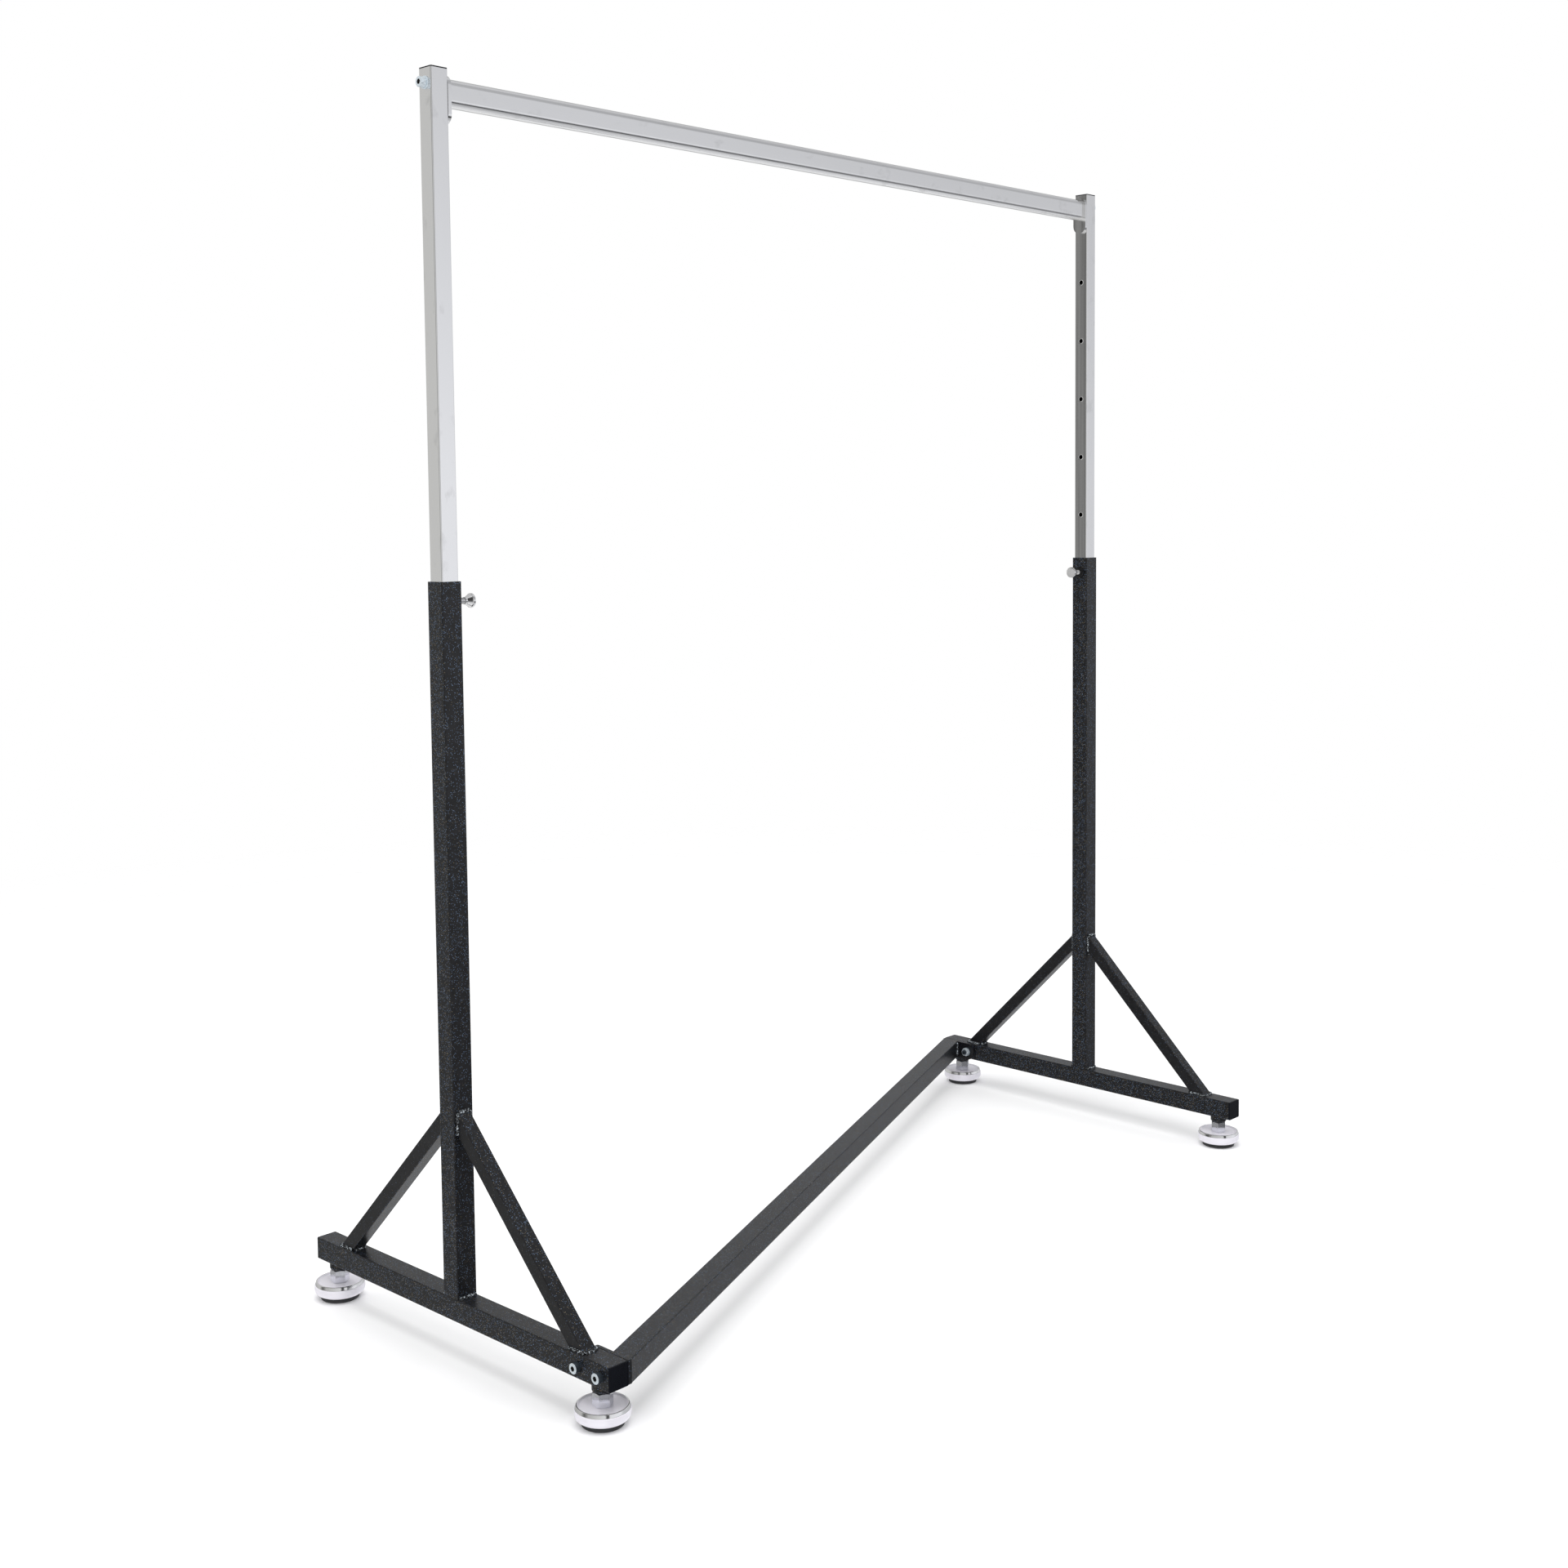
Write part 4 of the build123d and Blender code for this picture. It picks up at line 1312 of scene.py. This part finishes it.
class RAILSTAND_OT_lock_knobs(Undoable, bpy.types.Operator):
    """Make the mushroom knobs: neck, cone, rim and a satin face"""
    bl_idname = "rail_stand.lock_knobs"
    bl_label = "Lock Knobs"

    def execute(self, context):
        size = context.scene.rail_stand_sizes
        low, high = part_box("left_lock_knob")
        centre = centre_of("left_lock_knob")
        reach, rim = high.x - low.x, (high.y - low.y) / 2
        cone_end = reach - size.knob_rim
        bore, depth = size.screw / 2 + THREAD_GAP, 0.0081
        neck = size.knob_neck / 2
        knob = turned([
            (0, depth, 0), (bore, depth, 0), (bore, 0, 0.0002), (neck, 0, 0.0003), (neck, 0.0022, 0.002),
            (size.knob_cone / 2, cone_end, 0.0006), (rim, cone_end + 0.0008, 0.0008),
            (rim, reach - 0.0002, 0.0009), (rim - 0.0012, reach - 0.0002, 0), (rim - 0.0016, reach, 0.0002),
            (0, reach, 0),
        ])
        add_finishes(knob, fitting_chrome, satin_chrome)
        paint_faces(knob, 1, lambda part: part.calc_center_median().z > reach - 0.0001)
        shade(knob)
        place(knob, at=(low.x, centre.y, centre.z), along="X")
        hand_over_pair(knob, "lock_knob")
        return {"FINISHED"}


class RAILSTAND_OT_uprights(Undoable, bpy.types.Operator):
    """Make the chromed uprights with their row of lock holes"""
    bl_idname = "rail_stand.uprights"
    bl_label = "Uprights"

    def execute(self, context):
        size = context.scene.rail_stand_sizes
        low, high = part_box("left_upright")
        centre = centre_of("left_upright")
        side = high.x - low.x
        lock = centre_of("left_lock_collar").z
        screw = centre_of("rail_screws").z
        tube = square_tube(side, size.upright_wall, size.upright_corner,
                           max(size.upright_corner - size.upright_wall, 0.0003), high.z - low.z)
        place(tube, at=(centre.x, centre.y, low.z))
        rim = size.lock_hole / 2 + size.hole_rim
        half = side / 2
        tool = turned([(0, 0, 0), (size.lock_hole / 2, 0, 0), (size.lock_hole / 2, half - 0.0006, 0.0003),
                       (rim, half, 0), (rim, side, 0), (0, side, 0)], steps=HOLE_STEPS)
        place(tool, at=(centre.x, 0, lock), along="X")
        holes = [place(copy_of(tool), at=(0, 0, i * size.hole_pitch)) for i in range(1, size.hole_count)]
        holes += [tool, drill(size.screw_clearance, 2 * side, (centre.x - side, 0, screw), "X")]
        carve(tube, joined(holes))
        soften(tube, 0.0003)
        inside = half - size.upright_wall + FINE
        add_finishes(tube, upright_chrome, painted_recess_shade)

        def in_bore(part):
            middle = part.calc_center_median()
            return abs(middle.x - centre.x) < inside and abs(middle.y) < inside and abs(part.normal.z) < 0.5

        # the bore of the tube is painted near-black: painted shade inside the tube
        paint_faces(tube, 1, in_bore)
        shade(tube)
        hand_over_pair(tube, "upright")
        return {"FINISHED"}


class RAILSTAND_OT_upright_caps(Undoable, bpy.types.Operator):
    """Make the caps in the tops of the uprights"""
    bl_idname = "rail_stand.upright_caps"
    bl_label = "Upright Caps"

    def execute(self, context):
        size = context.scene.rail_stand_sizes
        low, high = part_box("left_upright_cap")
        centre = centre_of("left_upright_cap")
        tube_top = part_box("left_upright")[1].z
        side = high.x - low.x
        cap = moulded_cap(side, size.upright_corner, high.z - tube_top, side - 2 * size.upright_wall - 0.0002,
                          size.cap_wall, tube_top - low.z, 0)
        place(cap, at=(centre.x, centre.y, tube_top))
        hand_over_pair(cap, "upright_cap")
        return {"FINISHED"}


class RAILSTAND_OT_hang_rail(Undoable, bpy.types.Operator):
    """Make the flat-oval rail"""
    bl_idname = "rail_stand.hang_rail"
    bl_label = "Hang Rail"

    def execute(self, context):
        size = context.scene.rail_stand_sizes
        low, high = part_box("hang_rail")
        centre = centre_of("hang_rail")
        height, width = high.z - low.z, high.y - low.y
        wall = size.rail_wall
        rail = oval_bar(height, width, wall, high.x - low.x)
        place(rail, at=(low.x, centre.y, centre.z), along="X")
        shade(rail)
        hand_over(rail, "hang_rail", rail_chrome)
        return {"FINISHED"}


def oval_bar(height, width, wall, reach):
    """Flat-oval tube along +Z, its long side along X."""
    start_clean()
    bpy.ops.mesh.primitive_plane_add(size=1, location=(0, 0, 0))
    bar = bpy.context.object
    open_mesh(bar)
    for inset in (0, wall):
        if inset:
            bpy.ops.mesh.primitive_plane_add(size=1, location=(0, 0, 0))
        tall, wide = height - 2 * inset, width - 2 * inset
        scale_about((0, 0, 0), (tall, wide, 1))
        bpy.ops.mesh.bevel(offset=wide / 2 - FINE, segments=4 * CORNER_STEPS, affect="VERTICES")
        bpy.ops.mesh.delete(type="ONLY_FACE")
    bpy.ops.mesh.select_all(action="SELECT")
    bpy.ops.mesh.remove_doubles(threshold=5 * FINE)
    bpy.ops.mesh.bridge_edge_loops()
    bpy.ops.mesh.select_all(action="SELECT")
    extrude_by(0, 0, reach)
    point_outwards()
    start_clean()
    return bar


class RAILSTAND_OT_rail_plates(Undoable, bpy.types.Operator):
    """Make the round-ended plates between the rail and the uprights"""
    bl_idname = "rail_stand.rail_plates"
    bl_label = "Rail Plates"

    def execute(self, context):
        size = context.scene.rail_stand_sizes
        low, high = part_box("left_rail_plate")
        centre = centre_of("left_rail_plate")
        width, height = high.y - low.y, high.z - low.z
        plate = flat_plate(height, width, high.x - low.x, [(lambda co: True, width / 2 - FINE)])
        place(plate, at=(low.x, centre.y, centre.z), along="X")
        screw = centre_of("rail_screws").z
        carve(plate, drill(size.screw + 0.0001, 0.02, (low.x - 0.005, 0, screw), "X"))
        soften(plate, 0.0006, steps=3)
        shade(plate)
        hand_over_pair(plate, "rail_plate")
        return {"FINISHED"}


class RAILSTAND_OT_rail_screws(Undoable, bpy.types.Operator):
    """Make the socket screws that hold the rail"""
    bl_idname = "rail_stand.rail_screws"
    bl_label = "Rail Screws"

    def execute(self, context):
        size = context.scene.rail_stand_sizes
        low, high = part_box("rail_screws")
        seat = low.x + size.screw_head_height
        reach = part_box("left_rail_plate")[1].x + PAST_THE_NUT - seat
        screw = socket_screw(size, reach, thread=0.010, side_painter=zinc_plate)
        place(screw, at=(seat, 0, (low.z + high.z) / 2), along="X")
        hand_over(joined([screw, half_turn_copy(screw)]), "rail_screws")
        return {"FINISHED"}


class RAILSTAND_OT_rail_washers(Undoable, bpy.types.Operator):
    """Make the washers under the heads of the rail screws"""
    bl_idname = "rail_stand.rail_washers"
    bl_label = "Rail Washers"

    def execute(self, context):
        size = context.scene.rail_stand_sizes
        low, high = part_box("rail_washers")
        washer = plain_washer(size)
        place(washer, at=(0, 0, 0), along="X")
        place(washer, at=(low.x + size.washer_thickness, 0, (low.z + high.z) / 2), spin=HALF_TURN)
        shade(washer)
        hand_over(joined([washer, half_turn_copy(washer)]), "rail_washers")
        return {"FINISHED"}


# ---- studio
CAMERA_PLACE = (-2.122, -1.961, 1.064)
CAMERA_HEADING = 43.81       # degrees from +X towards +Y
CAMERA_RISE = -4.20          # degrees above the horizon
CAMERA_ROLL = -0.54
CAMERA_LENS = 44.30          # mm on a 36 mm sensor
CAMERA_SHIFT = -0.08
LAMPS = (                    # name, place, target, size, power, tint
    ("top_box", (-0.6, -0.4, 3.4), (0, 0, 0.6), 2.4, 50, (1.0, 1.0, 1.0)),
    ("left_box", (-3.6, 1.6, 2.2), (0, 0, 0.8), 2.2, 12, (1.0, 0.99, 0.96)),
    ("right_box", (2.4, -3.4, 2.0), (0, 0, 0.7), 2.4, 16, (0.90, 0.95, 1.0)),
)
# brightness round the room, from west through south, east and north back to west
WALLS = ((0.00, 0.55), (0.08, 0.70), (0.165, 0.85), (0.177, 0.08), (0.203, 0.08), (0.215, 0.90), (0.33, 0.97),
         (0.365, 0.94), (0.395, 0.76), (0.45, 0.82), (0.52, 0.80), (0.58, 0.62), (0.66, 0.56), (0.75, 0.64),
         (0.84, 0.62), (0.865, 0.62), (0.885, 0.40), (0.90, 0.24), (0.912, 0.10), (0.94, 0.24), (0.97, 0.50),
         (1.00, 0.55))
GROUND = ((0.00, 0.45), (0.17, 0.60), (0.20, 0.15), (0.30, 0.06), (0.36, 0.05), (0.40, 0.16), (0.46, 0.40),
          (0.51, 0.52), (0.60, 0.52), (0.80, 0.40), (0.86, 0.34), (0.92, 0.25), (1.00, 0.45))


class RAILSTAND_OT_stage(Undoable, bpy.types.Operator):
    """Set the camera, the soft lights, the surroundings and the pale floor"""
    bl_idname = "rail_stand.stage"
    bl_label = "Stage"

    def execute(self, context):
        self.add_camera()
        for lamp in LAMPS:
            self.add_lamp(*lamp)
        self.add_surroundings()
        self.add_floor()
        context.scene.view_settings.view_transform = "Standard"
        return {"FINISHED"}

    def add_camera(self):
        data = bpy.data.cameras.new("camera")
        camera = bpy.data.objects.new("camera", data)
        bpy.context.scene.collection.objects.link(camera)
        data.sensor_width = 36
        data.lens = CAMERA_LENS
        data.shift_y = CAMERA_SHIFT
        data.clip_start, data.clip_end = 0.05, 200
        heading, rise = math.radians(CAMERA_HEADING), math.radians(CAMERA_RISE)
        forward = Vector((math.cos(rise) * math.cos(heading), math.cos(rise) * math.sin(heading),
                          math.sin(rise)))
        camera.rotation_mode = "QUATERNION"
        camera.location = CAMERA_PLACE
        level = forward.to_track_quat("-Z", "Y")
        level.rotate(Quaternion(forward, math.radians(-CAMERA_ROLL)))
        camera.rotation_quaternion = level
        bpy.context.scene.camera = camera

    def add_lamp(self, name, at, target, width, power, tint):
        data = bpy.data.lights.new(name, "AREA")
        lamp = bpy.data.objects.new(name, data)
        bpy.context.scene.collection.objects.link(lamp)
        data.shape = "SQUARE"
        data.size, data.energy, data.color = width, power, tint
        lamp.visible_glossy = False
        lamp.location = at
        lamp.rotation_euler = (Vector(target) - Vector(at)).to_track_quat("-Z", "Y").to_euler()

    def add_surroundings(self):
        """Even pale light, and a room of paler and darker panels that only gloss picks up."""
        world = bpy.context.scene.world or bpy.data.worlds.new("studio")
        bpy.context.scene.world = world
        paint = Paint(world)
        # a world's Generated coordinate is the direction looked in
        east, north, up = paint.parts_of(paint.node("ShaderNodeTexCoord", output="Generated"))
        bearing = north.sum("ARCTAN2", north, east) / math.tau + 0.5
        walls = paint.ramp(bearing, WALLS)
        ground = paint.ramp(bearing, GROUND)
        below = paint.ramp(0.5 - 1.5 * up, [(0.59, 0), (0.725, 0.3), (0.92, 1)])
        dim = paint.ramp(0.5 + up / 2, [(0.51, 0), (0.61, 0.24), (0.68, 0.50), (0.85, 0.50), (0.95, 0)])
        above = 1 - dim * (0.5 - 0.6 * north)
        deep = paint.ramp(-1 * up, [(0.40, 0), (0.52, 0.42)])
        glow = walls * (1 - below) * above + (ground + deep) * below
        tint = paint.blend(east * 0.35 - north * 0.35 + 0.5, (1.0, 0.998, 0.975, 1), (0.955, 0.965, 1.0, 1))
        gloss = paint.node("ShaderNodeBackground", inputs={"Color": tint, "Strength": glow})
        even = paint.node("ShaderNodeBackground", inputs={"Color": (1, 1, 1, 1), "Strength": 1.0})
        is_gloss = paint.node("ShaderNodeLightPath", output="Is Glossy Ray")
        mixed = paint.node("ShaderNodeMixShader", inputs=[is_gloss, even, gloss])
        paint.node("ShaderNodeOutputWorld", inputs={"Surface": mixed})

    def add_floor(self):
        start_clean()
        bpy.ops.mesh.primitive_circle_add(vertices=96, radius=FLOOR_REACH, fill_type="NGON",
                                          location=(0, 0, 0))
        floor = bpy.context.object
        floor.name = "floor"
        add_finishes(floor, pale_floor)
        floor.visible_glossy = False


PIECE_OPERATORS = (
    RAILSTAND_OT_foot_bars, RAILSTAND_OT_posts, RAILSTAND_OT_braces, RAILSTAND_OT_floor_bar,
    RAILSTAND_OT_joint_plates, RAILSTAND_OT_joint_screws, RAILSTAND_OT_joint_washers,
    RAILSTAND_OT_joint_nuts, RAILSTAND_OT_frame_welds, RAILSTAND_OT_joint_welds,
    RAILSTAND_OT_end_caps, RAILSTAND_OT_foot_bosses, RAILSTAND_OT_foot_studs,
    RAILSTAND_OT_foot_pads, RAILSTAND_OT_foot_soles, RAILSTAND_OT_lock_collars,
    RAILSTAND_OT_lock_studs, RAILSTAND_OT_lock_knobs, RAILSTAND_OT_uprights,
    RAILSTAND_OT_upright_caps, RAILSTAND_OT_hang_rail, RAILSTAND_OT_rail_plates,
    RAILSTAND_OT_rail_screws, RAILSTAND_OT_rail_washers, RAILSTAND_OT_stage,
)


class RAILSTAND_PT_panel(bpy.types.Panel):
    """Sizes, colours and the pieces in the order that they are made"""
    bl_idname = "RAILSTAND_PT_panel"
    bl_label = "Rail Stand"
    bl_space_type = "VIEW_3D"
    bl_region_type = "UI"
    bl_category = "Rail Stand"

    def draw(self, context):
        for group in (context.scene.rail_stand_sizes, context.scene.rail_stand_colours):
            box = self.layout.box()
            for name in group.__annotations__:
                box.prop(group, name)
        for operator in PIECE_OPERATORS:
            self.layout.operator(operator.bl_idname)


CLASSES = (StandSizes, StandColours, *PIECE_OPERATORS, RAILSTAND_PT_panel)


def register():
    for cls in CLASSES:
        bpy.utils.register_class(cls)
    bpy.types.Scene.rail_stand_sizes = bpy.props.PointerProperty(type=StandSizes)
    bpy.types.Scene.rail_stand_colours = bpy.props.PointerProperty(type=StandColours)


def unregister():
    del bpy.types.Scene.rail_stand_colours
    del bpy.types.Scene.rail_stand_sizes
    for cls in reversed(CLASSES):
        bpy.utils.unregister_class(cls)


def main():
    register()
    for operator in PIECE_OPERATORS:
        family, name = operator.bl_idname.split(".")
        getattr(getattr(bpy.ops, family), name)()
    start_clean()


if __name__ == "__main__":
    main()
